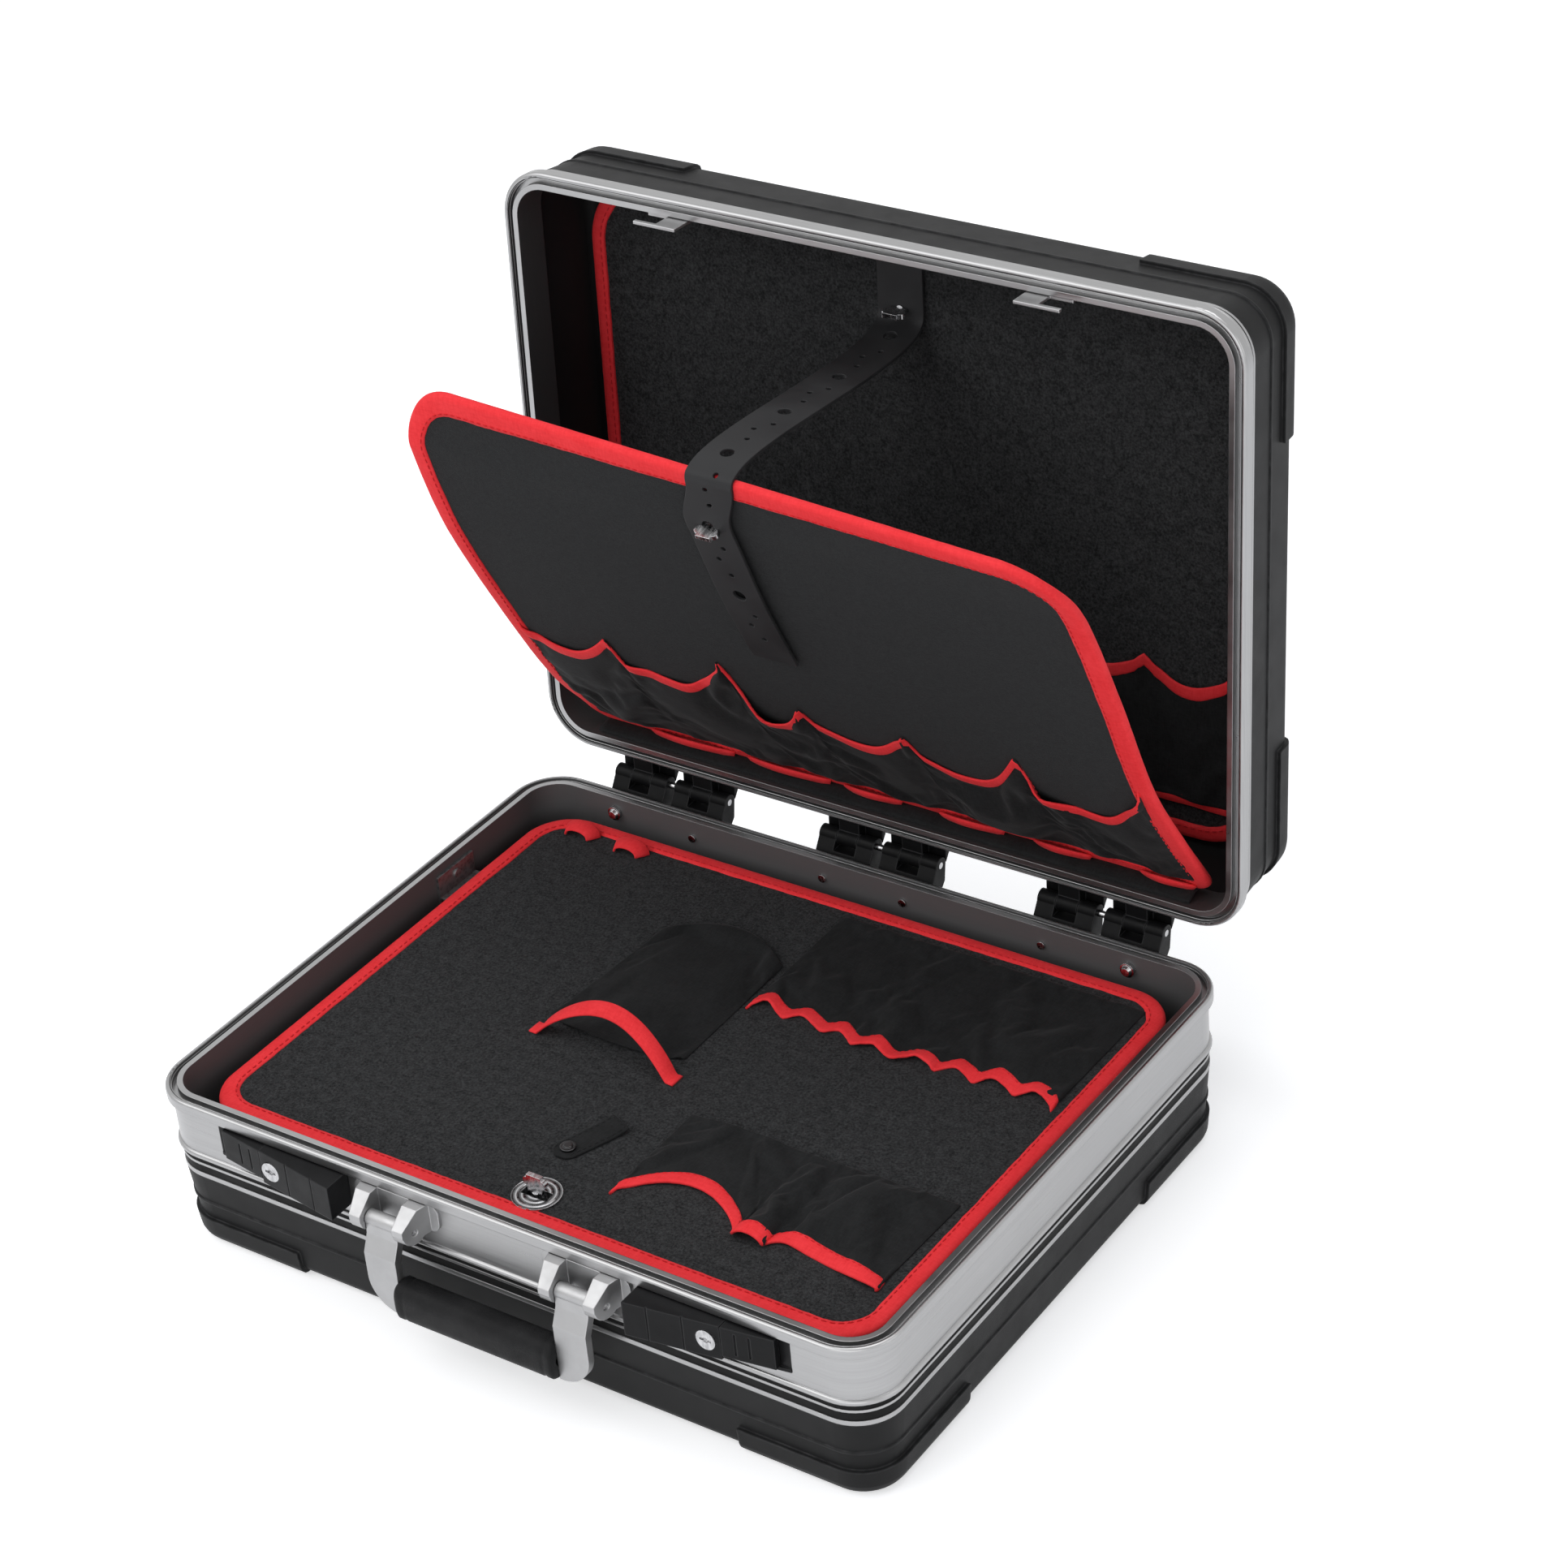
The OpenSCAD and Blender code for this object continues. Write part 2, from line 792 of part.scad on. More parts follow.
lock_x = latch_x + 1;
slide_x = latch_x + latch_l / 2 - 1.5 - slide_travel - slide_l / 2;
bar_end = slide_x + 3;
slide_top = latch_top - 0.45;
shelf_t = latch_h - slide_h - side_gap - 0.65;
seam_places = [lock_x - 33, lock_x - 13];
function latch_front(x) =
    latch_out_in + (latch_out_end - latch_out_in) * (x - latch_x + latch_l / 2) / latch_l;

// Seen from above: the body tapers from the handle end to the outer end.
module latch_outline(x0, x1, back, less) {
    polygon([[x0, back], [x1, back], [x1, -latch_front(x1) + less], [x0, -latch_front(x0) + less]]);
}

lock_front = latch_front(lock_x) + 0.6;

module latch_housing(side) {
    x0 = latch_x - latch_l / 2 + 0.2;
    x1 = latch_x + latch_l / 2 - 0.2;
    bay = slide_x - slide_l / 2 - side_gap;
    color(deep_black)
        mirror([side < 0 ? 1 : 0, 0, 0])
            translate([0, -band_y, 0])
                difference() {
                    union() {
                        translate([x0, 0, latch_mid_z - latch_h / 2 + 0.2])
                            cube([x1 - x0, latch_window, latch_h - 0.4]);
                        translate([0, 0, latch_mid_z - latch_h / 2 + 0.2])
                            linear_extrude(latch_h - 0.4)
                                latch_outline(x0, bay, 1, 0);
                        translate([0, 0, latch_mid_z - latch_h / 2 + 0.2])
                            linear_extrude(shelf_t)
                                latch_outline(bay - 1, x1, 1, 3);
                    }
                    translate([lock_x, -lock_front + lock_l + 0.2, lock_z])
                        rotate([90, 0, 0])
                            cylinder(r = lock_d / 2 + pin_fit, h = lock_l + 5);
                    for (x = seam_places)
                        translate([x, -latch_front(x), latch_mid_z])
                            cube([0.8, 1.4, latch_h], center = true);
                    translate([bolt_x - 1, 0.3, bolt_z - side_gap])
                        cube([bar_end + slide_travel + 1 - bolt_x, latch_window, bolt_t + 2 * side_gap]);
                    translate([slide_x - 4, -1, bolt_z - side_gap])
                        cube([bar_end + slide_travel + 1 - slide_x + 3, 3, bolt_t + 2 * side_gap]);
                }
}

module latch_housing_left() {
    latch_housing(-1);
}

module latch_housing_right() {
    latch_housing(1);
}

// Sliding button with its bolt: the bolt runs behind the housing and through the wall.
module latch_slide(side) {
    x0 = slide_x - slide_l / 2;
    x1 = slide_x + slide_l / 2;
    z0 = slide_top - slide_h;
    rib_places = [-7, 1];
    color(black)
        mirror([side < 0 ? 1 : 0, 0, 0])
            translate([0, -band_y, 0]) {
                difference() {
                    translate([0, 0, z0])
                        linear_extrude(slide_h)
                            latch_outline(x0, x1, -side_gap, 0);
                    for (x = rib_places)
                        translate([slide_x + x, -latch_front(slide_x + x), z0 + slide_h / 2])
                            cube([1.2, 1.6, slide_h - 5], center = true);
                }
                translate([2 * slide_x - bar_end, -side_gap - 1, bolt_z])
                    cube([2 * (bar_end - slide_x), side_gap + 2.2, bolt_t]);
                translate([bolt_x, 0.6, bolt_z])
                    cube([bar_end - bolt_x, 2.6, bolt_t]);
                translate([bolt_x, 0.6, bolt_z])
                    cube([bolt_l, band_y - inner_y + catch_t + 2, bolt_t]);
            }
}

module latch_slide_left() {
    latch_slide(-1);
}

module latch_slide_right() {
    latch_slide(1);
}

// Lock cylinder with a key slot across its face.
module lock_cylinder(side) {
    color(steel)
        translate([side * lock_x, -band_y - lock_front, lock_z])
            difference() {
                rotate([-90, 0, 0])
                    cylinder(d = lock_d, h = lock_l);
                cube([lock_d * 0.6, 3, 1.6], center = true);
                rotate([-90, 0, 0])
                    cylinder(d = 3.4, h = 3, center = true);
            }
}

module lock_cylinder_left() {
    lock_cylinder(-1);
}

module lock_cylinder_right() {
    lock_cylinder(1);
}

// T-shaped catch on the lid's front rim.
module lid_catch(side) {
    foot_h = 2.5;
    stem_w = catch_w / 2;
    clear = rim_gap;
    color(aluminium)
        in_lid()
            translate([side * catch_x, -inner_y, 0]) {
                translate([-catch_w / 2, 0, 1.5])
                    cube([catch_w, clear + catch_t, 9]);
                translate([-side * catch_w / 4 - stem_w / 2, clear, -catch_reach])
                    cube([stem_w, catch_t, catch_reach + 3]);
                translate([-catch_w / 2, clear, -catch_reach])
                    cube([catch_w, catch_t, foot_h]);
            }
}

module lid_catch_left() {
    lid_catch(-1);
}

module lid_catch_right() {
    lid_catch(1);
}

// ---------- tool pallet ----------

// Brackets on the side walls: a plate on the wall and a tab under the pallet.
module pallet_rests() {
    color(steel)
        for (side = [-1, 1])
            mirror([side < 0 ? 1 : 0, 0, 0]) {
                translate([inner_x - rest_t, rest_y - rest_w / 2, rest_top - 16])
                    cube([rest_t, rest_w, 30]);
                translate([inner_x - rest_reach, rest_y - rest_w / 2, rest_top - rest_t])
                    cube([rest_reach, rest_w, rest_t]);
                translate([inner_x - rest_t - 1.2, rest_y, rest_top + 8])
                    rotate([0, 90, 0])
                        cylinder(d = 6, h = 1.3);
            }
}

// Bracket on the front wall: it carries the pallet's front edge and the turn knob.
module knob_bracket() {
    reach = inner_y - knob_y + 10;
    color(steel)
        difference() {
            union() {
                translate([-rest_w / 2, -inner_y, rest_top - 16])
                    cube([rest_w, rest_t, 16]);
                translate([-rest_w / 2, -inner_y, rest_top - rest_t])
                    cube([rest_w, reach, rest_t]);
                translate([0, -knob_y, rest_top - 8])
                    cylinder(d = knob_stem_d + 5, h = 8);
            }
            translate([0, -knob_y, rest_top - 9])
                cylinder(r = knob_stem_d / 2 + pin_fit, h = 10);
        }
}

// A board with a hole for the turn knob.
module pallet_board() {
    color(felt)
        translate([0, 0, pallet_z - board_t])
            linear_extrude(board_t)
                difference() {
                    rounded(pallet_w - 3, pallet_d - 3, pallet_r - 1.5);
                    translate([0, -knob_y])
                        circle(d = wing_l + 5);
                }
}

// Section of a binding: a folded tape round the edge of a board, whose middle is at y = 0.
module binding_section() {
    half = board_t / 2 + binding_proud;
    difference() {
        union() {
            translate([-binding_w, -half])
                square([binding_w - half, 2 * half]);
            translate([-half, 0])
                circle(half);
        }
        translate([-binding_w - 1, -board_t / 2])
            square([binding_w + 1 - 1.5, board_t]);
    }
}

module pallet_binding() {
    color(red)
        translate([0, 0, pallet_z - board_t / 2])
            ring(pallet_w, pallet_d, pallet_r)
                binding_section();
}

// Flat pockets: their outlines lie on the board, from the mouth to the stitched edge.
right_edge = pallet_w / 2 - 16;
back_edge = pallet_d / 2 - 17;
front_edge = -pallet_d / 2 + 45;
back_pocket_l = right_edge - 4;
front_pocket_l = right_edge - 34;

// A mouth that waves between x0 and x0 + length about the line y.
function mouth(x0, length, y, wave, turns) = [
    for (i = [0:12])
        [x0 + length * i / 12, y - wave * cos(360 * turns * i / 12)]
];

back_mouth = mouth(4, back_pocket_l, back_edge - 102, 4, 2);
front_mouth = mouth(34, front_pocket_l, front_edge + 8, 8, 1.5);
back_pocket = concat(back_mouth, [[right_edge, back_edge], [4, back_edge]]);
front_pocket = concat(front_mouth, [[right_edge, front_edge + 76], [34, front_edge + 76]]);
middle_pocket = [
    [-92, -8], [-42, -14], [0, -5], [0, back_edge - 54], [-40, back_edge - 40], [-84, back_edge - 58]
];

module flat_pocket(outline) {
    color(cloth)
        translate([0, 0, pallet_z])
            linear_extrude(pocket_t)
                polygon(outline);
}

module pallet_back_pocket() {
    flat_pocket(back_pocket);
}

module pallet_front_pocket() {
    flat_pocket(front_pocket);
}

module pallet_middle_pocket() {
    flat_pocket(middle_pocket);
}

// Red elastic along the mouths of the two larger pockets.
module pallet_pocket_elastics() {
    width = 8;
    color(red)
        translate([0, 0, pallet_z])
            for (line = [back_mouth, front_mouth])
                linear_extrude(pocket_t + 1)
                    translate([0, -width / 2 - 0.5])
                        path_band(line, width);
}

// Elastic loop that stands over the board between two stitched feet, drawn at the origin.
module elastic_loop(length, height, width, foot) {
    half = length / 2 - foot;
    r = (half * half + height * height) / (2 * height);
    rotate([90, 0, 0])
        linear_extrude(width, center = true) {
            intersection() {
                translate([0, height - r])
                    difference() {
                        circle(r, $fn = 120);
                        circle(r - loop_t, $fn = 120);
                    }
                translate([-half - 2, 0])
                    square([2 * half + 4, height + 1]);
            }
            for (side = [-1, 1])
                translate([side * (half + foot / 2 - 1), loop_t / 2])
                    square([foot, loop_t], center = true);
        }
}

// Arched elastic in front of the middle pocket's mouth.
module pallet_tool_loop() {
    color(red)
        translate([-42, -25, pallet_z])
            rotate(3)
                elastic_loop(100, 16, 10, 8);
}

// Small loops near the back left corner.
module pallet_back_loops() {
    color(red)
        for (x = [32 - pallet_w / 2, 70 - pallet_w / 2])
            translate([x, back_edge - 7, pallet_z])
                elastic_loop(30, 12, 10, 5);
}

// Short strap with a press stud, lying on the board.
module pallet_flap() {
    color(cloth)
        translate([-2, -88, pallet_z])
            rotate(68)
                linear_extrude(2)
                    union() {
                        square([34, 17], center = true);
                        translate([-17, 0])
                            circle(8.5);
                    }
}

module pallet_press_stud() {
    color(steel)
        translate([-2, -88, pallet_z + 2])
            rotate(68)
                translate([-17, 0, 0]) {
                    cylinder(d = 9, h = 1.2);
                    cylinder(d = 5, h = 2);
                }
}

// Ring plate round the turn knob, with a slot for its wing.
module pallet_eyelet() {
    slot_w = knob_stem_d + 2;
    color(steel)
        translate([0, -knob_y, pallet_z - board_t])
            difference() {
                union() {
                    cylinder(d = wing_l + 5, h = board_t);
                    translate([0, 0, board_t])
                        cylinder(d = wing_l + 13, h = 1.4);
                }
                translate([-(wing_l + 2) / 2, -slot_w / 2, -1])
                    cube([wing_l + 2, slot_w, board_t + 4]);
            }
}

// Turn knob: a stem in the front bracket and a wing over the slot.
module turn_knob(stem) {
    cylinder(d = knob_stem_d, h = stem);
    translate([0, 0, stem])
        rotate([90, 0, 0])
            linear_extrude(3, center = true)
                union() {
                    translate([0, wing_h / 2])
                        square([wing_l - wing_h / 2, wing_h], center = true);
                    for (side = [-1, 1])
                        translate([side * (wing_l / 2 - wing_h / 4), wing_h * 0.6])
                            circle(wing_h / 4);
                }
}

module pallet_turn_knob() {
    color(steel)
        translate([0, -knob_y, rest_top - 8])
            turn_knob(pallet_z + 2.5 - rest_top + 8);
}

// ---------- lid lining ----------

module lid_back_board() {
    color(felt)
        in_lid()
            difference() {
                translate([0, back_y, back_z - board_t - binding_proud])
                    linear_extrude(board_t)
                        rounded(back_w - 3, back_d - 3, back_r - 1.5);
                translate([strap_x, strap_top_y, back_z - 20])
                    cylinder(r = knob_stem_d / 2 + pin_fit, h = 20);
            }
}

module lid_back_binding() {
    color(red)
        in_lid()
            translate([0, back_y, back_z - board_t / 2 - binding_proud])
                ring(back_w, back_d, back_r)
                    binding_section();
}

back_face = back_z - board_t - binding_proud;
back_pocket_half = back_w / 2 - 21;
back_pocket_bottom = back_y + back_d / 2 - 25;
back_pocket_mouth = back_pocket_bottom - back_pocket_h;

module lid_back_pocket() {
    color(cloth)
        in_lid()
            translate([-back_pocket_half, back_pocket_mouth, back_face - pocket_t])
                cube([2 * back_pocket_half, back_pocket_h, pocket_t]);
}

module lid_pocket_elastic() {
    color(red)
        in_lid() {
            translate([-back_pocket_half, back_pocket_mouth - 8, back_face - pocket_t - 1])
                cube([2 * back_pocket_half, 8, pocket_t + 1]);
            translate([-back_pocket_half, back_pocket_bottom, back_face - 1.5])
                cube([2 * back_pocket_half, 5, 1.5]);
        }
}

// Rivets through the panel's hinge tape into the lid's lower wall.
module lid_rivets() {
    places = concat(rivet_x, [outer_rivet_x]);
    color(steel)
        in_lid()
            for (side = [-1, 1], x = side * places)
                translate([x, inner_y - tape_t - 1.2, tape_z])
                    rotate([-90, 0, 0])
                        cylinder(d = 6, h = 1.2);
}

tape_t = 1;
tape_z = 9;
tape_w = panel_w - 20;

// Cloth tape along the lid's lower wall that the panel is sewn to.
module panel_hinge_tape() {
    color(cloth)
        in_lid()
            translate([-tape_w / 2, inner_y - tape_t, tape_z - 6])
                cube([tape_w, tape_t, panel_hinge_z + 2 - tape_z + 6]);
}

// ---------- folding panel ----------

module panel_board() {
    color(felt)
        in_panel()
            difference() {
                bowed(-board_t / 2, board_t / 2)
                    panel_outline(1.5);
                translate([strap_x, stud_y, -2 * panel_bow])
                    cylinder(r = knob_stem_d / 2 + pin_fit, h = 3 * panel_bow);
            }
}

module panel_binding() {
    half = board_t / 2 + binding_proud;
    color(red)
        in_panel()
            difference() {
                bowed(-half, half)
                    panel_outline();
                bowed(-half - 1, half + 1)
                    panel_outline(binding_w);
                bowed(-board_t / 2, board_t / 2)
                    panel_outline(1.5);
            }
    color(red)
        in_panel()
            difference() {
                along_x(panel_w)
                    circle(half);
                bowed(-board_t / 2, board_t / 2)
                    panel_outline(1.5);
            }
}

// Outline of the pockets, with one scallop dip for each tool.
pocket_count = 6;
pocket_pitch = (panel_w - 2 * binding_w - 6) / pocket_count;
module pocket_band(low, high) {
    translate([-pocket_count * pocket_pitch / 2, -high])
        square([pocket_count * pocket_pitch, high - low]);
}

module panel_pockets() {
    color(cloth)
        in_panel()
            bowed(-board_t / 2 - pocket_t, -board_t / 2)
                difference() {
                    pocket_band(binding_w + 4, panel_pocket_h);
                    for (i = [0:pocket_count - 1])
                        translate([(i + 0.5 - pocket_count / 2) * pocket_pitch, -panel_pocket_h - 22])
                            circle(34);
                }
}

module panel_pocket_elastic() {
    color(red)
        in_panel()
            bowed(-board_t / 2 - pocket_t - 1, -board_t / 2)
                intersection() {
                    pocket_band(binding_w + 4, panel_pocket_h + 8);
                    for (i = [0:pocket_count - 1])
                        translate([(i + 0.5 - pocket_count / 2) * pocket_pitch, -panel_pocket_h - 22])
                            difference() {
                                circle(34);
                                circle(27);
                            }
                }
}

// ---------- strap ----------

stud_y = -panel_l + stud_inset;

// Height of the panel's middle surface at a place along its length.
function panel_arc(y) =
    panel_arc_r - panel_bow - sqrt(panel_arc_r * panel_arc_r - (y + panel_l / 2) * (y + panel_l / 2));
strap_top_y = back_y - back_d / 2 + strap_inset;
strap_gap = 0.6;

// A point given in the lid's (y, z), as (y, z) of the whole case.
function from_lid(p) = [
    hinge_y + (p[0] - hinge_y) * cos(open_angle) + (p[1] + lid_z - hinge_z) * sin(open_angle),
    hinge_z - (p[0] - hinge_y) * sin(open_angle) + (p[1] + lid_z - hinge_z) * cos(open_angle)
];

// A point given in the panel's (y, z), as (y, z) of the whole case.
function from_panel(p) = from_lid([
    panel_hinge_y + p[0] * cos(panel_tilt) - p[1] * sin(panel_tilt),
    panel_hinge_z + p[0] * sin(panel_tilt) + p[1] * cos(panel_tilt)
]);

// Points of a cubic curve between two ends, with its two handles.
function curve(a, b, c, d, steps) = [
    for (i = [0:steps])
        let (t = i / steps, s = 1 - t)
        s * s * s * a + 3 * s * s * t * b + 3 * s * t * t * c + t * t * t * d
];

// A band of even thickness along a line of points.
function side_point(path, i, off) =
    let (
        a = path[max(i - 1, 0)],
        b = path[min(i + 1, len(path) - 1)],
        d = (b - a) / norm(b - a)
    )
    path[i] + off * [-d[1], d[0]];

module path_band(path, t) {
    n = len(path);
    polygon(concat(
        [for (i = [0:n - 1]) side_point(path, i, t / 2)],
        [for (i = [n - 1:-1:0]) side_point(path, i, -t / 2)]
    ));
}

strap_edge = -panel_l - strap_gap - strap_t / 2;
strap_over = 8;

// Strap from the stud on the back board, out in a sagging bow to the panel's free edge.
module strap_upper() {
    lid_lie = back_face - strap_gap - strap_t / 2;
    top = [from_lid([strap_top_y - 22, lid_lie]), from_lid([strap_top_y + 5, lid_lie])];
    edge = from_panel([strap_edge, strap_over + 0.3]);
    bow = curve(
        top[1], from_lid([strap_top_y + 26, lid_lie]),
        from_panel([strap_edge + 8, 45]), edge, 16
    );
    color(deep_black)
        difference() {
            translate([strap_x, 0, 0])
                along_x(strap_w)
                    path_band(concat([top[0]], bow), strap_t);
            in_lid()
                translate([strap_x, strap_top_y, back_z - 25])
                    cylinder(r = knob_stem_d / 2 + 0.5, h = 25);
        }
}

// Strap over the panel's free edge and down its front.
module strap_lower() {
    half = board_t / 2 + binding_proud;
    bend_r = strap_gap + strap_t / 2;
    bend = [for (a = [0:30:90]) [-panel_l - bend_r * cos(a), -half - bend_r * sin(a)]];
    front = [for (y = [-panel_l + 8:8:-panel_l + strap_hang]) [y, panel_arc(y) - half - bend_r]];
    color(deep_black)
        in_panel()
            difference() {
                translate([strap_x, 0, 0])
                    along_x(strap_w)
                        path_band(concat([[strap_edge, strap_over]], bend, front), strap_t);
                translate([strap_x, stud_y, -3 * panel_bow])
                    cylinder(r = knob_stem_d / 2 + 0.5, h = 3 * panel_bow);
            }
}

// Turn studs that hold the strap.
module strap_stud_lid() {
    stem = board_t + strap_gap + strap_t + 2;
    color(steel)
        in_lid()
            translate([strap_x, strap_top_y, back_z - binding_proud])
                rotate([180, 0, 0])
                    turn_knob(stem);
}

module strap_stud_panel() {
    color(steel)
        in_panel()
            translate([strap_x, stud_y, panel_arc(stud_y) + board_t / 2 + 1])
                rotate([180, 0, 0])
                    turn_knob(board_t + binding_proud + strap_gap + strap_t + 4);
}

// ---------- nodes ----------

base_shell();
base_frame();
base_trim_strips();
base_studs();
hinge_base_leaves();
hinge_pins();
handle_bracket_left();
handle_bracket_right();
handle_pins();
latch_housing_left();
latch_housing_right();
pallet_rests();
knob_bracket();
handle_arm_left();
handle_arm_right();
handle_core();
handle_grip();
latch_slide_left();
latch_slide_right();
lock_cylinder_left();
lock_cylinder_right();
pallet_board();
pallet_binding();
pallet_back_pocket();
pallet_front_pocket();
pallet_middle_pocket();
pallet_pocket_elastics();
pallet_tool_loop();
pallet_back_loops();
pallet_flap();
pallet_press_stud();
pallet_eyelet();
pallet_turn_knob();
lid_shell();
lid_frame();
lid_trim_strip();
hinge_lid_leaves();
lid_catch_left();
lid_catch_right();
lid_back_board();
lid_back_binding();
lid_back_pocket();
lid_pocket_elastic();
lid_rivets();
panel_hinge_tape();
strap_upper();
strap_stud_lid();
panel_board();
panel_binding();
panel_pockets();
panel_pocket_elastic();
strap_lower();
strap_stud_panel();
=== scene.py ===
import json
import math

import bmesh
import bpy
from mathutils import Matrix, Vector, noise


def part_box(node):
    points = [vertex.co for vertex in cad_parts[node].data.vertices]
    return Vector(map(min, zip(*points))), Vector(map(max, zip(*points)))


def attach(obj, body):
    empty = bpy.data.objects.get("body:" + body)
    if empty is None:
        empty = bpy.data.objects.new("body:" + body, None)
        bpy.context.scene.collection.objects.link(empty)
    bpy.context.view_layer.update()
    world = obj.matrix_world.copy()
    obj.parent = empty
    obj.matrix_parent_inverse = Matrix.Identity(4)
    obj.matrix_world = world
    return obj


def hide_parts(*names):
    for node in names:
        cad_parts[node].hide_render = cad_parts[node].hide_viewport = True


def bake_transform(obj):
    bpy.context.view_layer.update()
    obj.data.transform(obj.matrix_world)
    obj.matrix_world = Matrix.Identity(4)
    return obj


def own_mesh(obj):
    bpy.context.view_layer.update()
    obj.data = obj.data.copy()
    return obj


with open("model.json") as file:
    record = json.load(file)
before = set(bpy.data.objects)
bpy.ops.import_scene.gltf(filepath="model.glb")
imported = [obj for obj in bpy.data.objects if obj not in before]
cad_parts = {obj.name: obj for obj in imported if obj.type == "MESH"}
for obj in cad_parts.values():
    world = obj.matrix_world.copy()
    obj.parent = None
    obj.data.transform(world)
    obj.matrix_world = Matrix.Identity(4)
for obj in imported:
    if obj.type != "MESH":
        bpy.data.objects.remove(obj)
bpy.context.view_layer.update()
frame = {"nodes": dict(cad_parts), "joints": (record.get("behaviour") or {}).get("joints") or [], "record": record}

MM = 0.001

# ---------- places taken from the frame ----------

joints = {joint["name"]: joint for joint in frame["joints"]}
nodes = frame["nodes"]
OPEN = math.radians(joints["lid_hinge"]["range_deg"][1])
TILT = math.radians(-joints["panel_fold"]["range_deg"][0])
HINGE = Vector(joints["lid_hinge"]["pos_m"])
FOLD = Vector(joints["panel_fold"]["pos_m"])
RIM_GAP = 0.6 * MM
RIM_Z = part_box("base_frame")[1][2]
PALLET_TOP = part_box("pallet_board")[1][2]

# A point drawn over the shut lid's rim plane, as it stands with the lid open.
LID = (
    Matrix.Translation(HINGE)
    @ Matrix.Rotation(-OPEN, 4, "X")
    @ Matrix.Translation(Vector((0, 0, RIM_Z + RIM_GAP)) - HINGE)
)
# A point drawn on the folding panel: hinge at y = 0, free edge along -Y, front at -Z.
PANEL = Matrix.Translation(FOLD) @ Matrix.Rotation(TILT - OPEN, 4, "X")


def middle(node):
    """Middle of a node's box."""
    low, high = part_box(node)
    return (Vector(low) + Vector(high)) / 2


# ---------- shader helpers ----------

# A Mix node's colour sockets share their names with its other kinds, so they go by number.
MIX_A, MIX_B, MIX_RESULT = 6, 7, 2


class Shader:
    """A material's node tree, with short calls to add and join nodes."""

    def __init__(self, name):
        self.material = bpy.data.materials.new(name)
        self.material.use_nodes = True
        self.tree = self.material.node_tree
        self.bsdf = self.tree.nodes["Principled BSDF"]

    def node(self, kind, **values):
        made = self.tree.nodes.new(kind)
        for key, value in values.items():
            setattr(made, key, value)
        return made

    def link(self, source, target):
        self.tree.links.new(source, target)

    def set(self, **values):
        for key, value in values.items():
            self.bsdf.inputs[key.replace("_", " ")].default_value = value

    def feed(self, **sources):
        """Joins sources to the shader's own sockets."""
        for key, source in sources.items():
            self.link(source, self.bsdf.inputs[key.replace("_", " ")])

    def place(self, scale=(1, 1, 1)):
        """Object coordinates in metres, stretched."""
        where = self.node("ShaderNodeTexCoord")
        stretch = self.node("ShaderNodeMapping")
        stretch.inputs["Scale"].default_value = scale
        self.link(where.outputs["Object"], stretch.inputs["Vector"])
        return stretch.outputs["Vector"]

    def noise(self, scale, detail=4, roughness=0.6, where=None):
        made = self.node("ShaderNodeTexNoise")
        made.inputs["Scale"].default_value = scale
        made.inputs["Detail"].default_value = detail
        made.inputs["Roughness"].default_value = roughness
        self.link(where or self.place(), made.inputs["Vector"])
        return made.outputs["Fac"]

    def cells(self, scale, where=None, feature="F1"):
        made = self.node("ShaderNodeTexVoronoi", feature=feature)
        made.inputs["Scale"].default_value = scale
        self.link(where or self.place(), made.inputs["Vector"])
        return made.outputs["Distance"]

    def ramp(self, source, low, high, start=0.35, end=0.65):
        made = self.node("ShaderNodeMapRange")
        made.inputs["From Min"].default_value = start
        made.inputs["From Max"].default_value = end
        made.inputs["To Min"].default_value = low
        made.inputs["To Max"].default_value = high
        self.link(source, made.inputs["Value"])
        return made.outputs["Result"]

    def math(self, operation, a, b):
        made = self.node("ShaderNodeMath", operation=operation)
        for slot, value in zip(made.inputs, (a, b)):
            if isinstance(value, (int, float)):
                slot.default_value = value
            else:
                self.link(value, slot)
        return made.outputs["Value"]

    def vector(self, operation, a, b=None):
        """The node of a vector operation on sockets or plain vectors."""
        made = self.node("ShaderNodeVectorMath", operation=operation)
        for slot, value in zip(made.inputs, (a, b)):
            if isinstance(value, bpy.types.NodeSocket):
                self.link(value, slot)
            elif value is not None:
                slot.default_value = value
        return made

    def mix(self, factor, a, b):
        """A colour between a and b."""
        made = self.node("ShaderNodeMix", data_type="RGBA")
        self.link(factor, made.inputs["Factor"])
        for slot, value in ((made.inputs[MIX_A], a), (made.inputs[MIX_B], b)):
            if isinstance(value, tuple):
                slot.default_value = (*value, 1)
            else:
                self.link(value, slot)
        return made.outputs[MIX_RESULT]

    def bump(self, height, strength, distance, after=None):
        made = self.node("ShaderNodeBump")
        made.inputs["Strength"].default_value = strength
        made.inputs["Distance"].default_value = distance
        self.link(height, made.inputs["Height"])
        if after is not None:
            self.link(after, made.inputs["Normal"])
        return made.outputs["Normal"]

    def soft_edges(self, radius):
        """Normals that round off the sharp edges of a piece."""
        made = self.node("ShaderNodeBevel", samples=6)
        made.inputs["Radius"].default_value = radius
        return made.outputs["Normal"]

    def edge_mask(self, radius):
        """1 on flat faces, less along edges, where the bevelled normal turns away."""
        bevel = self.soft_edges(radius)
        true = self.node("ShaderNodeNewGeometry").outputs["Normal"]
        return self.vector("DOT_PRODUCT", bevel, true).outputs["Value"]


def shade(colour, share):
    """A colour made darker or lighter."""
    return tuple(c * share for c in colour)


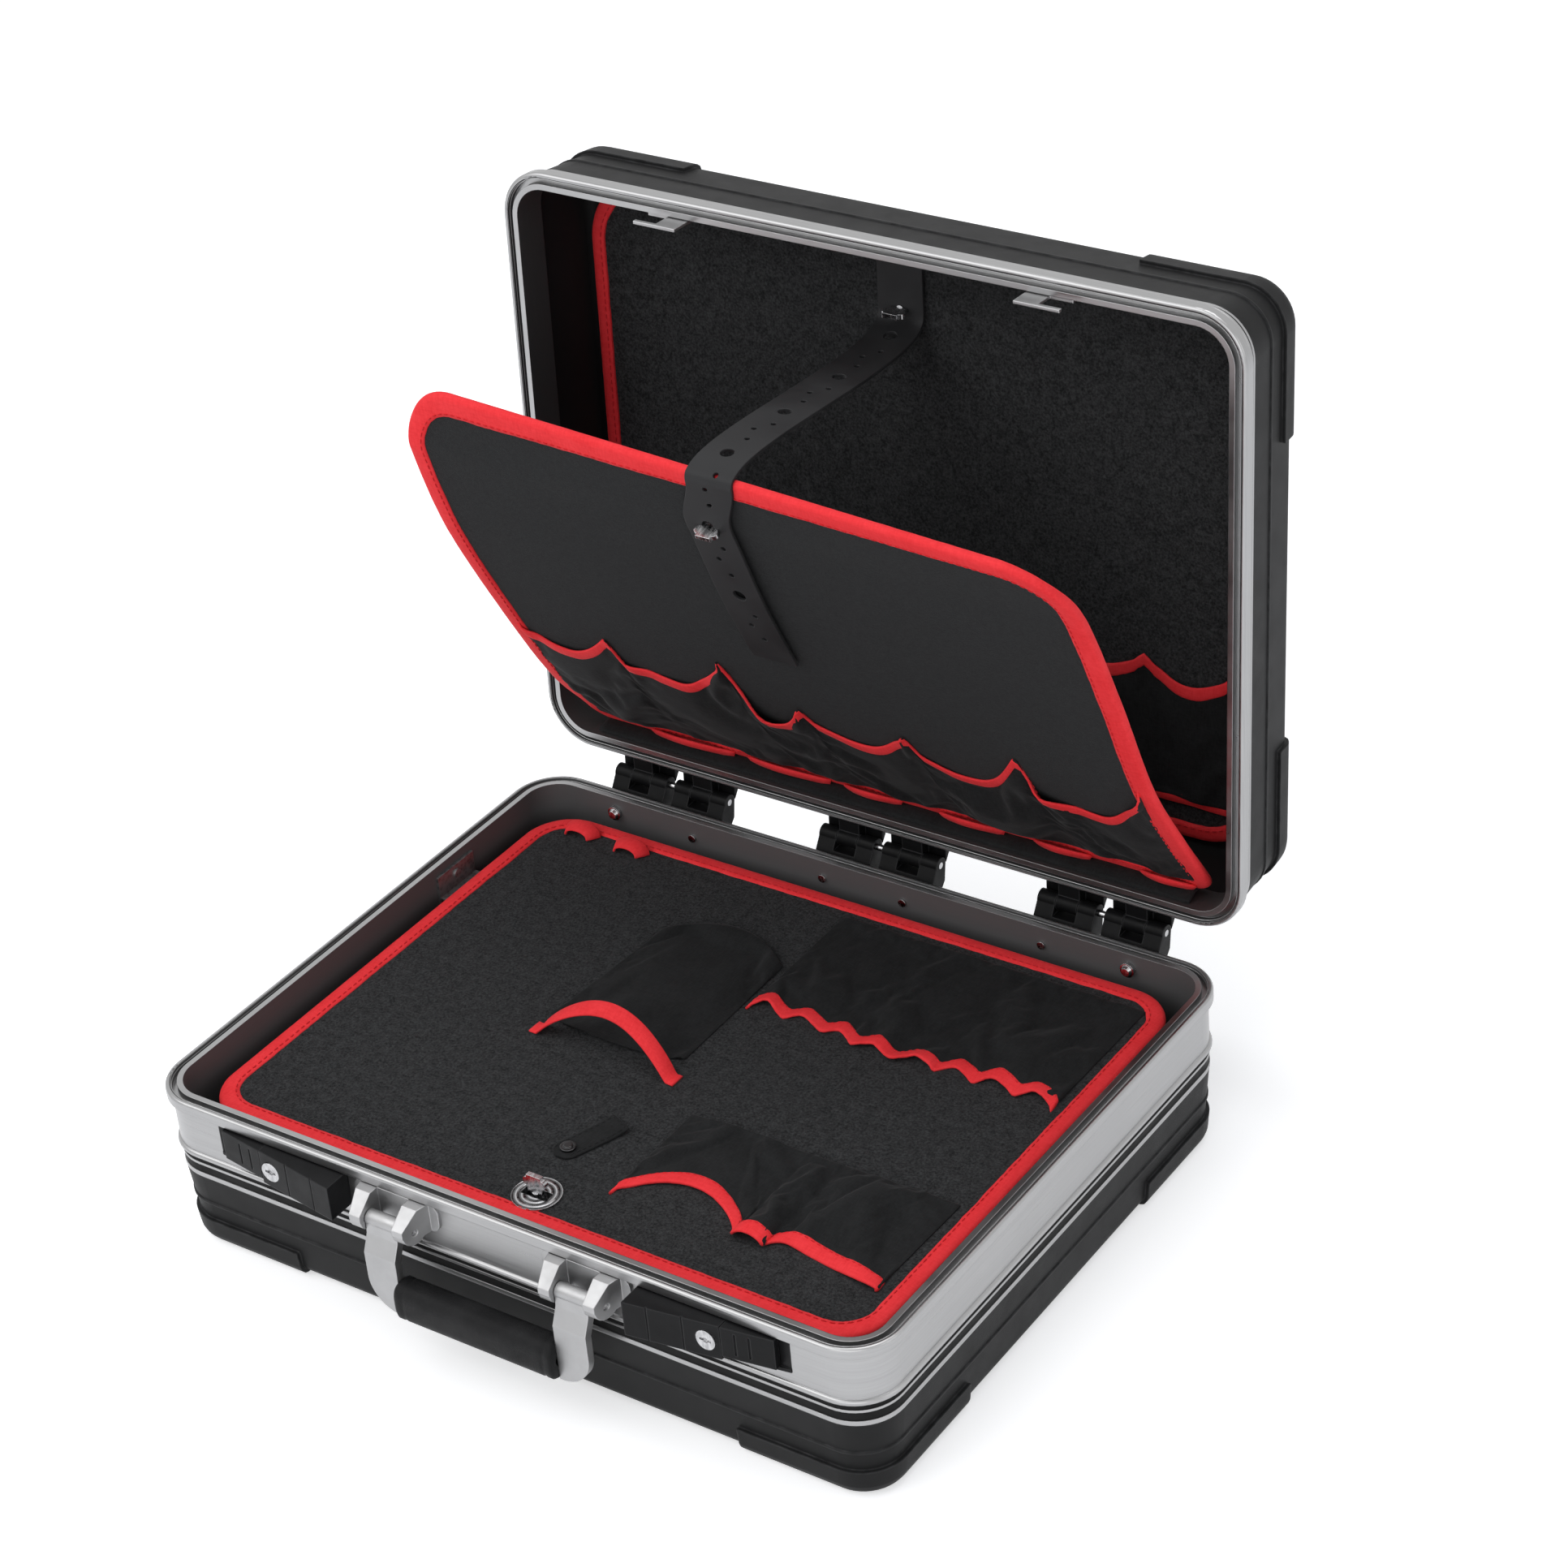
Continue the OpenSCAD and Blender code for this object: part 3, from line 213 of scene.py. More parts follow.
def shell_plastic():
    """Matt black moulded plastic: fine spark-eroded grain, faint scuffs on the edges."""
    s = Shader("shell_plastic")
    grain = s.noise(1700, 3, 0.7)
    cloud = s.noise(9, 5)
    worn = s.ramp(s.edge_mask(0.0022), 1.0, 0.0, 0.86, 0.985)
    worn = s.math("MULTIPLY", worn, s.ramp(s.noise(140, 4), 0.15, 0.9))
    base = s.mix(s.ramp(cloud, 0, 1), (0.0125, 0.0125, 0.0128), (0.0155, 0.0155, 0.0158))
    s.feed(
        Base_Color=s.mix(worn, base, (0.065, 0.065, 0.066)),
        Roughness=s.ramp(s.noise(60, 5), 0.46, 0.52),
        Normal=s.bump(grain, 0.28, 0.0004, s.soft_edges(0.0012)),
    )
    s.set(IOR=1.5, Specular_IOR_Level=0.1)
    return s.material


def across(s, centre, plane):
    """From a centre to the shaded point, scaled along each axis."""
    away = s.vector("SUBTRACT", s.place(), centre)
    return s.vector("MULTIPLY", away.outputs["Vector"], plane).outputs["Vector"]


def inward(s, centre, plane):
    """1 on the frame's inner faces, which look towards its middle and get painted shade, 0 on the rest."""
    geometry = s.node("ShaderNodeNewGeometry")
    unit = s.vector("NORMALIZE", across(s, centre, plane))
    dot = s.vector("DOT_PRODUCT", geometry.outputs["True Normal"], unit.outputs["Vector"])
    return s.ramp(dot.outputs["Value"], 1, 0, -0.32, -0.22)


ALUMINIUM = (0.4, 0.4, 0.404)


def brushed_aluminium(name, painted_inner_shade, centre, plane, streak):
    """Satin anodised extrusion: fine lines along its length, rounded rib edges, and painted shade on its inner
    faces.
    """
    s = Shader(name)
    lines = s.noise(1, 3, 0.75, s.place(streak))
    cloud = s.noise(14, 3)
    tint = s.mix(s.ramp(lines, 0, 1, 0.3, 0.7), shade(ALUMINIUM, 0.86), ALUMINIUM)
    tint = s.mix(s.ramp(cloud, 0, 0.25), tint, shade(ALUMINIUM, 0.8))
    inside = inward(s, centre, plane)
    satin = s.ramp(lines, 0.27, 0.37, 0.3, 0.7)
    s.feed(
        # Painted shade and painted reflection: the inner faces are mixed towards a flat dark grey that stands in
        # for the dark inside they mirror.
        Base_Color=s.mix(s.math("MULTIPLY", inside, 0.9), tint, (painted_inner_shade, painted_inner_shade, painted_inner_shade)),
        Roughness=s.math("MAXIMUM", satin, s.math("MULTIPLY", inside, 0.6)),
        Metallic=s.ramp(inside, 1, 0.5),
        Normal=s.bump(lines, 0.05, 0.0002, s.soft_edges(0.0005)),
    )
    return s.material


def satin_cast(name, colour, rough):
    """Satin-plated cast metal with a faint pebble and bright rubbed edges."""
    s = Shader(name)
    pebble = s.noise(700, 3)
    rubbed = s.ramp(s.edge_mask(0.0012), 1, 0, 0.9, 0.99)
    tint = s.mix(s.ramp(s.noise(30, 4), 0, 0.5), colour, shade(colour, 0.82))
    s.feed(
        Base_Color=s.mix(rubbed, tint, shade(colour, 1.1)),
        Roughness=s.ramp(s.noise(85, 4), rough - 0.05, rough + 0.09),
        Normal=s.bump(pebble, 0.06, 0.0002, s.soft_edges(0.0008)),
    )
    s.set(Metallic=1.0)
    return s.material


def bright_steel():
    """Bright plated steel with light handling marks."""
    s = Shader("bright_steel")
    marks = s.noise(1, 2, 0.5, s.place((500, 160, 160)))
    s.feed(
        Base_Color=s.mix(s.ramp(marks, 0, 1), (0.36, 0.36, 0.37), (0.56, 0.56, 0.57)),
        Roughness=s.ramp(marks, 0.16, 0.3),
        Normal=s.bump(marks, 0.04, 0.0001, s.soft_edges(0.0004)),
    )
    s.set(Metallic=1.0)
    return s.material


def ringed_steel(centre):
    """Turned steel: grooves round a centre, with painted shade at their bottoms."""
    s = Shader("ringed_steel")
    radius = s.vector("LENGTH", across(s, centre, (1, 1, 0)))
    rings = s.math("SINE", s.math("MULTIPLY", radius.outputs["Value"], 1850), 0)
    marks = s.noise(420, 4)
    # Painted shade: the colour darkens towards each groove's bottom, and the marks add random tone.
    groove_shade_and_marks = s.math("ADD", s.ramp(rings, 0, 1, -0.5, 0.5), s.math("MULTIPLY", marks, 0.3))
    s.feed(
        Base_Color=s.mix(groove_shade_and_marks, (0.07, 0.07, 0.072), (0.42, 0.42, 0.43)),
        Roughness=s.ramp(marks, 0.22, 0.38),
        Normal=s.bump(rings, 0.5, 0.0004, s.soft_edges(0.0004)),
    )
    s.set(Metallic=1.0)
    return s.material


def black_hardware(name, colour, rough, grain_scale, radius=0.0008):
    """Smooth black plastic or coated metal, a little greyer where it is handled."""
    s = Shader(name)
    grain = s.noise(grain_scale, 3)
    rubbed = s.ramp(s.edge_mask(radius * 1.5), 0.8, 0, 0.88, 0.99)
    tint = s.mix(s.ramp(s.noise(40, 4), 0, 1), colour, shade(colour, 1.5))
    s.feed(
        Base_Color=s.mix(rubbed, tint, (0.045, 0.045, 0.046)),
        Roughness=s.ramp(s.noise(120, 4), rough - 0.06, rough + 0.08),
        Normal=s.bump(grain, 0.12, 0.0002, s.soft_edges(radius)),
    )
    s.set(Specular_IOR_Level=0.09)
    return s.material


def grey_steel():
    """Zinc-plated sheet: a faint spangle and dull edges."""
    s = Shader("grey_steel")
    spangle = s.ramp(s.cells(420), 0, 1, 0.1, 0.6)
    s.feed(
        Base_Color=s.mix(spangle, (0.17, 0.17, 0.175), (0.27, 0.27, 0.275)),
        Roughness=s.ramp(spangle, 0.34, 0.48, 0, 1),
        Normal=s.bump(spangle, 0.04, 0.0002, s.soft_edges(0.0005)),
    )
    s.set(Metallic=0.9)
    return s.material


def felt(name, dark, light, scale):
    """Needle felt on a board: short matted fibres with lighter flecks."""
    s = Shader(name)
    fibre = s.noise(scale, 6, 0.75)
    tuft = s.noise(scale * 0.28, 5, 0.7)
    both = s.math("ADD", s.math("MULTIPLY", fibre, 0.72), s.math("MULTIPLY", tuft, 0.28))
    s.feed(
        Base_Color=s.mix(s.ramp(both, 0, 1, 0.4, 0.62), dark, light),
        Normal=s.bump(both, 0.9, 0.0013),
    )
    s.set(Roughness=0.95, Sheen_Weight=0.04, Sheen_Roughness=0.5, Specular_IOR_Level=0.12)
    return s.material


def woven(name, dark, light, pitch, sheen, rough=0.82):
    """Woven cloth: stretched grains crossing each other, with slight shade changes."""
    s = Shader(name)
    fine = 1 / pitch
    warp = s.noise(1, 2, 0.5, s.place((fine, fine * 0.22, fine * 0.22)))
    weft = s.noise(1, 2, 0.5, s.place((fine * 0.22, fine, fine)))
    cloth = s.math("MULTIPLY", s.math("ADD", warp, weft), 0.5)
    cloud = s.noise(45, 5)
    mixed = s.math("ADD", s.math("MULTIPLY", cloth, 0.6), s.math("MULTIPLY", cloud, 0.4))
    s.feed(
        Base_Color=s.mix(s.ramp(mixed, 0, 1, 0.36, 0.64), dark, light),
        Normal=s.bump(cloth, 0.7, 0.00035),
    )
    s.set(Roughness=rough, Sheen_Weight=sheen, Sheen_Roughness=0.4, Specular_IOR_Level=0.15)
    return s.material


def strap_rubber():
    """Dull black rubber with a fine cloth print and dusty bloom."""
    s = Shader("strap_rubber")
    cloth_print = s.noise(1500, 2)
    bloom = s.noise(26, 5)
    s.feed(
        Base_Color=s.mix(s.ramp(bloom, 0, 1), (0.015, 0.015, 0.016), (0.024, 0.024, 0.025)),
        Roughness=s.ramp(bloom, 0.52, 0.64),
        Normal=s.bump(cloth_print, 0.15, 0.0002),
    )
    s.set(Specular_IOR_Level=0.25)
    return s.material


def grip_rubber():
    """Soft black grip skin with a leather-like cell print."""
    s = Shader("grip_rubber")
    cells = s.cells(820, s.place((1, 1, 1.4)), "DISTANCE_TO_EDGE")
    skin = s.ramp(s.noise(35, 5), 0, 1)
    s.feed(
        Base_Color=s.mix(skin, (0.008, 0.008, 0.0085), (0.018, 0.018, 0.0185)),
        Roughness=s.ramp(s.noise(90, 4), 0.38, 0.52),
        Normal=s.bump(s.ramp(cells, 0, 1, 0.0, 0.12), 0.35, 0.0003),
    )
    s.set(Specular_IOR_Level=0.1)
    return s.material


# The frames' depth over their width, which squares the direction to their middle.
ASPECT = 0.78
# Stretch of the drawn lines: coarse along the bar and fine across it.
COARSE, FINE = 14, 900
looks = {
    "shell_plastic": shell_plastic(),
    # The base frame's inner faces get painted shade at 0.09.
    "frame_aluminium": brushed_aluminium(
        "frame_aluminium", 0.09, (0, 0, 0), (ASPECT, 1, 0), (COARSE, COARSE, FINE)
    ),
    # The black trim in the frame profile's grooves is painted shade: dark strips that stand in for the shadow in
    # those gaps.
    "trim_rubber": black_hardware("trim_rubber", (0.008, 0.008, 0.008), 0.5, 900, 0.0004),
    "black_hardware": black_hardware("black_hardware", (0.0075, 0.0075, 0.008), 0.36, 1200),
    "black_metal": black_hardware("black_metal", (0.004, 0.004, 0.0042), 0.42, 700),
    "satin_metal": satin_cast("satin_metal", (0.4, 0.4, 0.405), 0.42),
    "bright_steel": bright_steel(),
    "grey_steel": grey_steel(),
    "grip_rubber": grip_rubber(),
    "felt_board": felt("felt_board", (0.0075, 0.0079, 0.0082), (0.056, 0.057, 0.058), 620),
    "black_cloth": woven("black_cloth", (0.0075, 0.0078, 0.008), (0.0175, 0.018, 0.0185), 0.9 * MM, 0.05),
    "red_binding": woven("red_binding", (0.84, 0.03, 0.036), (0.96, 0.05, 0.058), 1.1 * MM, 0.03, 0.7),
    "strap_rubber": strap_rubber(),
}
PANEL_FELT = felt("panel_felt", (0.019, 0.0195, 0.02), (0.034, 0.035, 0.036), 1300)
RED_THREAD = woven("red_thread", (0.62, 0.014, 0.02), (0.8, 0.03, 0.038), 0.3 * MM, 0.1)

for part in frame["record"]["subparts"]:
    mesh = nodes[part["node"]].data
    mesh.materials.clear()
    mesh.materials.append(looks[part["material_slot"]])
# The lid frame's inner faces get a darker painted shade, 0.025, than the base frame's.
nodes["lid_frame"].data.materials[0] = brushed_aluminium(
    "lid_frame_aluminium", 0.025, middle("lid_frame"), (ASPECT, 0, 1), (COARSE, FINE, COARSE)
)
nodes["pallet_eyelet"].data.materials[0] = ringed_steel(middle("pallet_eyelet"))
nodes["pallet_press_stud"].data.materials[0] = satin_cast("dull_stud", (0.07, 0.07, 0.072), 0.3)

# ---------- camera, light and floor ----------

# Where the picture is seen from: a place, a turn about x, y and z in degrees, and a lens.
# These numbers come from a camera fitted outside this script.
CAMERA_AT = (1.1024, -1.3643, 1.364)
CAMERA_TURN = (57.615, 4.588, 33.896)
LENS_MM, SENSOR_MM = 89.35, 36


def set_camera():
    data = bpy.data.cameras.new("camera")
    data.lens = LENS_MM
    data.sensor_width = SENSOR_MM
    camera = bpy.data.objects.new("camera", data)
    camera.location = CAMERA_AT
    camera.rotation_euler = [math.radians(angle) for angle in CAMERA_TURN]
    bpy.context.scene.collection.objects.link(camera)
    bpy.context.scene.camera = camera


def area_light(name, at, target, size, power):
    data = bpy.data.lights.new(name, "AREA")
    data.shape = "RECTANGLE"
    data.size, data.size_y = size
    data.energy = power
    lamp = bpy.data.objects.new(name, data)
    lamp.location = at
    lamp.rotation_euler = (Vector(target) - Vector(at)).to_track_quat("-Z", "Y").to_euler()
    bpy.context.scene.collection.objects.link(lamp)


def seen_white(tree):
    """1 for the camera and for what mirrors and glass show, 0 for the light itself."""
    path = tree.nodes.new("ShaderNodeLightPath")
    total = path.outputs["Is Camera Ray"]
    for kind in ("Is Glossy Ray", "Is Transmission Ray"):
        larger = tree.nodes.new("ShaderNodeMath")
        larger.operation = "MAXIMUM"
        tree.links.new(total, larger.inputs[0])
        tree.links.new(path.outputs[kind], larger.inputs[1])
        total = larger.outputs["Value"]
    return total


# The room that lights the case: a slightly cool grey.
ROOM_COLOUR, ROOM_STRENGTH = (0.9, 0.93, 1.0, 1), 0.42
WHITE = (1, 1, 1, 1)


def set_world():
    """A grey studio for the light, seen as plain white by the camera and in mirrors."""
    world = bpy.data.worlds.new("studio")
    bpy.context.scene.world = world
    world.use_nodes = True
    tree = world.node_tree
    tree.nodes.clear()
    room = tree.nodes.new("ShaderNodeBackground")
    room.inputs["Color"].default_value = ROOM_COLOUR
    room.inputs["Strength"].default_value = ROOM_STRENGTH
    white = tree.nodes.new("ShaderNodeBackground")
    white.inputs["Color"].default_value = WHITE
    white.inputs["Strength"].default_value = 1.0
    mixed = tree.nodes.new("ShaderNodeMixShader")
    out = tree.nodes.new("ShaderNodeOutputWorld")
    tree.links.new(seen_white(tree), mixed.inputs["Fac"])
    tree.links.new(room.outputs[0], mixed.inputs[1])
    tree.links.new(white.outputs[0], mixed.inputs[2])
    tree.links.new(mixed.outputs[0], out.inputs["Surface"])


def set_floor():
    bm = bmesh.new()
    bmesh.ops.create_circle(bm, cap_ends=True, segments=96, radius=2.6)
    mesh = bpy.data.meshes.new("floor")
    bm.to_mesh(mesh)
    bm.free()
    floor = bpy.data.objects.new("floor", mesh)
    floor.location = (0, 0.3, -0.0004)
    s = Shader("floor")
    s.feed(
        Base_Color=s.mix(s.ramp(s.noise(3, 3), 0, 0.3), (0.93, 0.93, 0.93), (0.88, 0.88, 0.88)),
        Emission_Strength=s.math("MULTIPLY", seen_white(s.tree), 0.5),
    )
    s.set(Roughness=0.7, Emission_Color=WHITE)
    mesh.materials.append(s.material)
    bpy.context.scene.collection.objects.link(floor)


# Each lamp: its name, place, what it points at, width and height, and power.
LAMPS = (
    ("key", (-1.3, -1.5, 2.3), (0, 0, 0.15), (2.8, 2.2), 34),
    ("front", (0.9, -2.2, 0.9), (0, -0.1, 0.1), (2.4, 1.2), 13),
    ("side", (2.3, 0.2, 1.1), (0, 0.1, 0.2), (1.4, 1.2), 4),
    ("top", (0.1, 0.5, 2.6), (0, 0.1, 0.1), (1.6, 1.2), 15),
)
set_camera()
set_world()
set_floor()
for lamp in LAMPS:
    area_light(*lamp)
bpy.context.scene.view_settings.view_transform = "Standard"

# ---------- mesh helpers ----------


def piece(name, verts, faces, slot, body, look=None):
    """A new mesh in a material slot; it rides on a body where one is given."""
    mesh = bpy.data.meshes.new(name)
    mesh.from_pydata([tuple(v) for v in verts], [], faces)
    bm = bmesh.new()
    bm.from_mesh(mesh)
    bmesh.ops.recalc_face_normals(bm, faces=bm.faces)
    bm.to_mesh(mesh)
    bm.free()
    mesh.shade_smooth()
    mesh.materials.append(look or looks[slot])
    made = bpy.data.objects.new(name, mesh)
    bpy.context.scene.collection.objects.link(made)
    if body:
        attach(made, body)
    return made


def freeze(obj):
    """Puts the result of a piece's modifiers into its mesh."""
    graph = bpy.context.evaluated_depsgraph_get()
    mesh = bpy.data.meshes.new_from_object(obj.evaluated_get(graph))
    obj.modifiers.clear()
    obj.data = mesh


def thicken(obj, thickness):
    made = obj.modifiers.new("thickness", "SOLIDIFY")
    made.thickness = thickness * MM
    made.offset = 0


def round_off(obj, width, segments=3, angle=35):
    """Rounds the sharp edges of a piece or of a solid from the frame."""
    made = obj.modifiers.new("edges", "BEVEL")
    made.width = width * MM
    made.segments = segments
    made.limit_method = "ANGLE"
    made.angle_limit = math.radians(angle)
    made.harden_normals = True


def grid_faces(rows, cols):
    """Faces of a sheet of places, row after row."""
    return [
        (i * cols + j, i * cols + j + 1, (i + 1) * cols + j + 1, (i + 1) * cols + j)
        for i in range(rows - 1) for j in range(cols - 1)
    ]


def tube_faces(rows, count, closed=False):
    """Faces between rings of places: the last joins the first, or both ends are capped."""
    faces = []
    for i in range(rows if closed else rows - 1):
        j = (i + 1) % rows
        for k in range(count):
            m = (k + 1) % count
            faces.append((i * count + k, i * count + m, j * count + m, j * count + k))
    if not closed:
        faces.append(tuple(range(count)))
        faces.append(tuple(range((rows - 1) * count, rows * count)))
    return faces


def sweep(frames, section):
    """Carries a section of (side, up) points along frames of (place, side, up)."""
    verts = []
    for i, (place, side, up) in enumerate(frames):
        points = section(i) if callable(section) else section
        verts += [place + side * a + up * b for a, b in points]
    return verts, tube_faces(len(frames), len(points))


def wave(t, seed=0.0):
    """Smooth noise along a line, from -1 to 1."""
    return noise.noise(Vector((t, seed * 7.31, seed)))


def smooth_line(points, rounds=2):
    """Evens out a line of places, its ends fixed."""
    for _ in range(rounds):
        inner = [(a + 2 * b + c) / 4 for a, b, c in zip(points, points[1:], points[2:])]
        points = [points[0], *inner, points[-1]]
    return points


# Places on a board, in mm: u to the right, v along it, h in front of its face.
def on_pallet(u, v, h):
    return Vector((u * MM, v * MM, PALLET_TOP + h * MM))


# Height of the lid's back board over the rim plane, in mm.
BACK_FACE = 60.1


def on_lid(u, v, h):
    return LID @ Vector((u * MM, v * MM, (BACK_FACE - h) * MM))


PANEL_L = 320.0
PANEL_W = 430.0
BOARD_T = 4.0
# How far the sagging, twisted panel stands from its hinge plane, by distance from the hinge.
# Curves much like these were first tried out in another script.
LEFT_SAG = ((0, 0), (60, -13), (120, -18), (220, -20), (285, -11), (PANEL_L, 5))
RIGHT_SAG = ((0, 0), (60, -8), (120, -14), (200, -10), (270, -9), (PANEL_L, -17))


def along(points, t):
    """A smooth curve through (t, value) points."""
    points = [points[0], *points, points[-1]]
    for i in range(1, len(points) - 2):
        (ta, a), (tb, b) = points[i], points[i + 1]
        if t <= tb or i == len(points) - 3:
            break
    k = min(max((t - ta) / (tb - ta), -0.3), 1.3)
    before, after = points[i - 1][1], points[i + 2][1]
    return 0.5 * (
        2 * a + (b - before) * k + (2 * before - 5 * a + 4 * b - after) * k * k
        + (3 * a - before - 3 * b + after) * k ** 3
    )


def sag(u, s):
    k = u / PANEL_W + 0.5
    return (1 - k) * along(LEFT_SAG, s) + k * along(RIGHT_SAG, s)


def on_panel(u, v, h):
    return PANEL @ Vector((u * MM, v * MM, (sag(u, -v) - BOARD_T / 2 - h) * MM))


def round_outline(u0, u1, v0, v1, radii, step=3.0):
    """Points round a rectangle with their outward direction; radii start at (u1, v1)."""
    made = []
    corners = ((u1, v1, 0), (u0, v1, 90), (u0, v0, 180), (u1, v0, 270))
    for i, (u, v, start) in enumerate(corners):
        r = radii[i]
        cu, cv = u - math.copysign(r, u - (u0 + u1) / 2), v - math.copysign(r, v - (v0 + v1) / 2)
        turns = max(6, int(r * 1.6 / step))
        for k in range(turns + 1):
            a = math.radians(start + 90 * k / turns)
            made.append((cu + r * math.cos(a), cv + r * math.sin(a), math.cos(a), math.sin(a)))
    filled = []
    for here, there in zip(made, made[1:] + made[:1]):
        gap = math.dist(here[:2], there[:2])
        parts = max(1, round(gap / step))
        for k in range(parts):
            t = k / parts
            filled.append(tuple(here[j] + (there[j] - here[j]) * t for j in range(4)))
    return filled


def spaced(points):
    """Distance along a line of places."""
    total, made = 0.0, [0.0]
    for a, b in zip(points, points[1:]):
        total += (b - a).length
        made.append(total)
    return made


# A stitch's rings: where each lies along it, its share of the thread's radius, and its lift.
STITCH_RINGS = ((0, 0.35, 0), (0.2, 1, 0.3), (0.8, 1, 0.3), (1, 0.35, 0))
STITCH_SIDES = 6


def stitches(name, line, slot, body, length=3.2, gap=1.5, thick=0.42, look=None):
    """A row of thread stitches along a line of (place, up) in the row frame."""
    places = [p for p, _ in line]
    marks = spaced(places)
    verts, faces = [], []
    pitch = (length + gap) * MM
    for n in range(int(marks[-1] / pitch)):
        ends = []
        for at in (n * pitch, n * pitch + length * MM):
            i = max(1, min(len(marks) - 1, next((k for k, m in enumerate(marks) if m > at), 1)))
            t = (at - marks[i - 1]) / max(marks[i] - marks[i - 1], 1e-9)
            ends.append(places[i - 1].lerp(places[i], t))
            up = line[i][1]
        tangent = (ends[1] - ends[0]).normalized()
        side = tangent.cross(up).normalized()
        base = len(verts)
        for t, r, lift in STITCH_RINGS:
            centre = ends[0].lerp(ends[1], t) + up * lift * thick * MM
            for k in range(STITCH_SIDES):
                a = math.radians(360 / STITCH_SIDES * k)
                verts.append(centre + (side * math.cos(a) + up * math.sin(a) * 0.7) * r * thick * MM)
        rings = tube_faces(len(STITCH_RINGS), STITCH_SIDES)
        faces += [tuple(base + corner for corner in face) for face in rings]
    return piece(name, verts, faces, slot, body, look)


def bind(name, replaced, outline, place, body, width=9.5, seed=1.0, fuller=0.0):
    """A tape folded round a board's edge and stitched; fuller widens it along the front."""
    half = BOARD_T / 2 + 0.9
    section = [
        (-half + half * math.cos(math.radians(a)), half * math.sin(math.radians(a)))
        for a in range(-90, 91, 22)
    ]
    section += [(-width * 0.45, half + 0.25), (-width * 0.8, half + 0.1)]
    section += [(-width, half - 0.35), (-width - 0.25, half - 0.9)]
    section += [(a, -b) for a, b in reversed(section[-4:])]
    verts = []
    for i, (u, v, du, dv) in enumerate(outline):
        run = i * 0.31
        front = max(0.0, -dv)
        for a, b in section:
            inner = max(0.0, (-a - half) / width)
            sway = 0.55 * wave(run * 0.8, seed) + 0.35 * wave(run * 2.6, seed + 3)
            shift = a * (1 + fuller * inner * front) + inner * sway
            lift = b * (1 + 0.05 * wave(run * 1.3, seed + a)) + 0.22 * inner * wave(run * 2.1, seed + 5)
            verts.append(place(u + du * shift, v + dv * shift, lift - BOARD_T / 2))
    faces = tube_faces(len(outline), len(section), closed=True)
    made = piece(name, verts, faces, "red_binding", body)
    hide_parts(replaced)
    line = []
    for u, v, du, dv in outline + outline[:1]:
        a = (width - 1.9) * (1 + 0.8 * fuller * max(0.0, -dv))
        here = place(u - du * a, v - dv * a, 1.1)
        up = (place(u - du * a, v - dv * a, 2.1) - here).normalized()
        line.append((here, up))
    stitches(name + "_stitches", line, "red_binding", body, look=RED_THREAD)


CLOTH_FRAMES = 16


def crumple(rows, cols, points, pinned, grow):
    """Lets a sheet buckle: its cloth grows a little between its pinned points."""
    mesh = bpy.data.meshes.new("cloth_work")
    mesh.from_pydata([tuple(p) for p in points], [], grid_faces(rows, cols))
    work = bpy.data.objects.new("cloth_work", mesh)
    scene = bpy.context.scene
    scene.collection.objects.link(work)
    held = work.vertex_groups.new(name="held")
    held.add(sorted(pinned), 1.0, "REPLACE")
    cloth = work.modifiers.new("cloth", "CLOTH")
    cloth.settings.quality = 6
    cloth.settings.mass = 0.05
    cloth.settings.vertex_group_mass = "held"
    cloth.settings.shrink_min = -grow
    cloth.settings.shrink_max = -grow
    cloth.settings.tension_stiffness = 25
    cloth.settings.compression_stiffness = 25
    cloth.settings.bending_stiffness = 4
    cloth.settings.air_damping = 4
    cloth.settings.effector_weights.gravity = 0
    cloth.collision_settings.use_collision = False
    cloth.point_cache.frame_end = CLOTH_FRAMES + 1
    for frame_number in range(1, CLOTH_FRAMES + 1):
        scene.frame_set(frame_number)
    graph = bpy.context.evaluated_depsgraph_get()
    result = [v.co.copy() for v in work.evaluated_get(graph).data.vertices]
    scene.frame_set(1)
    bpy.data.objects.remove(work)
    return result


def pocket(name, replaced, place, body, mouth, foot, puff, seams, rows, cols, grow, seed, top):
    """A sewn pocket: mouth(t) and foot(t) give its edges in mm, puff its slack at the mouth."""
    local = []
    for i in range(rows):
        k = i / (rows - 1)
        for j in range(cols):
            t = j / (cols - 1)
            (mu, mv), (fu, fv) = mouth(t), foot(t)
            u, v = mu + (fu - mu) * k, mv + (fv - mv) * k
            start, end = next((a, b) for a, b in zip(seams, seams[1:]) if a <= t <= b + 1e-6)
            across_seams = math.sin(math.pi * min(1, max(0, (t - start) / (end - start))))
            slack = puff * across_seams ** 0.8 * (1 - k) ** 0.7
            ripple = 0.8 * across_seams * (1 - k) * wave(u * 0.09 + v * 0.05, seed)
            swell = 1 + wave(u * 0.17 - v * 0.06, seed + 1)
            belly = 0.5 * across_seams * math.sin(math.pi * k) * swell
            local.append(Vector((u, v, 0.5 + slack + (ripple + belly))) * MM)
    pinned = {(rows - 1) * cols + j for j in range(cols)}
    for seam in seams:
        j = round(seam * (cols - 1))
        pinned |= {i * cols + j for i in range(rows)}
    free = crumple(rows, cols, local, pinned, grow)
    local = [
        Vector((p.x, p.y, min(max(p.z, 0.25 * MM + 0.3 * abs(p.z)), top * MM))) for p in free
    ]
    verts = [place(p.x / MM, p.y / MM, p.z / MM) for p in local]
    made = piece(name, verts, grid_faces(rows, cols), "black_cloth", body)
    thicken(made, 0.7)
    finer = made.modifiers.new("finer", "SUBSURF")
    finer.levels = finer.render_levels = 1
    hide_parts(replaced)
    return made, verts[:cols], verts[3 * cols:4 * cols]


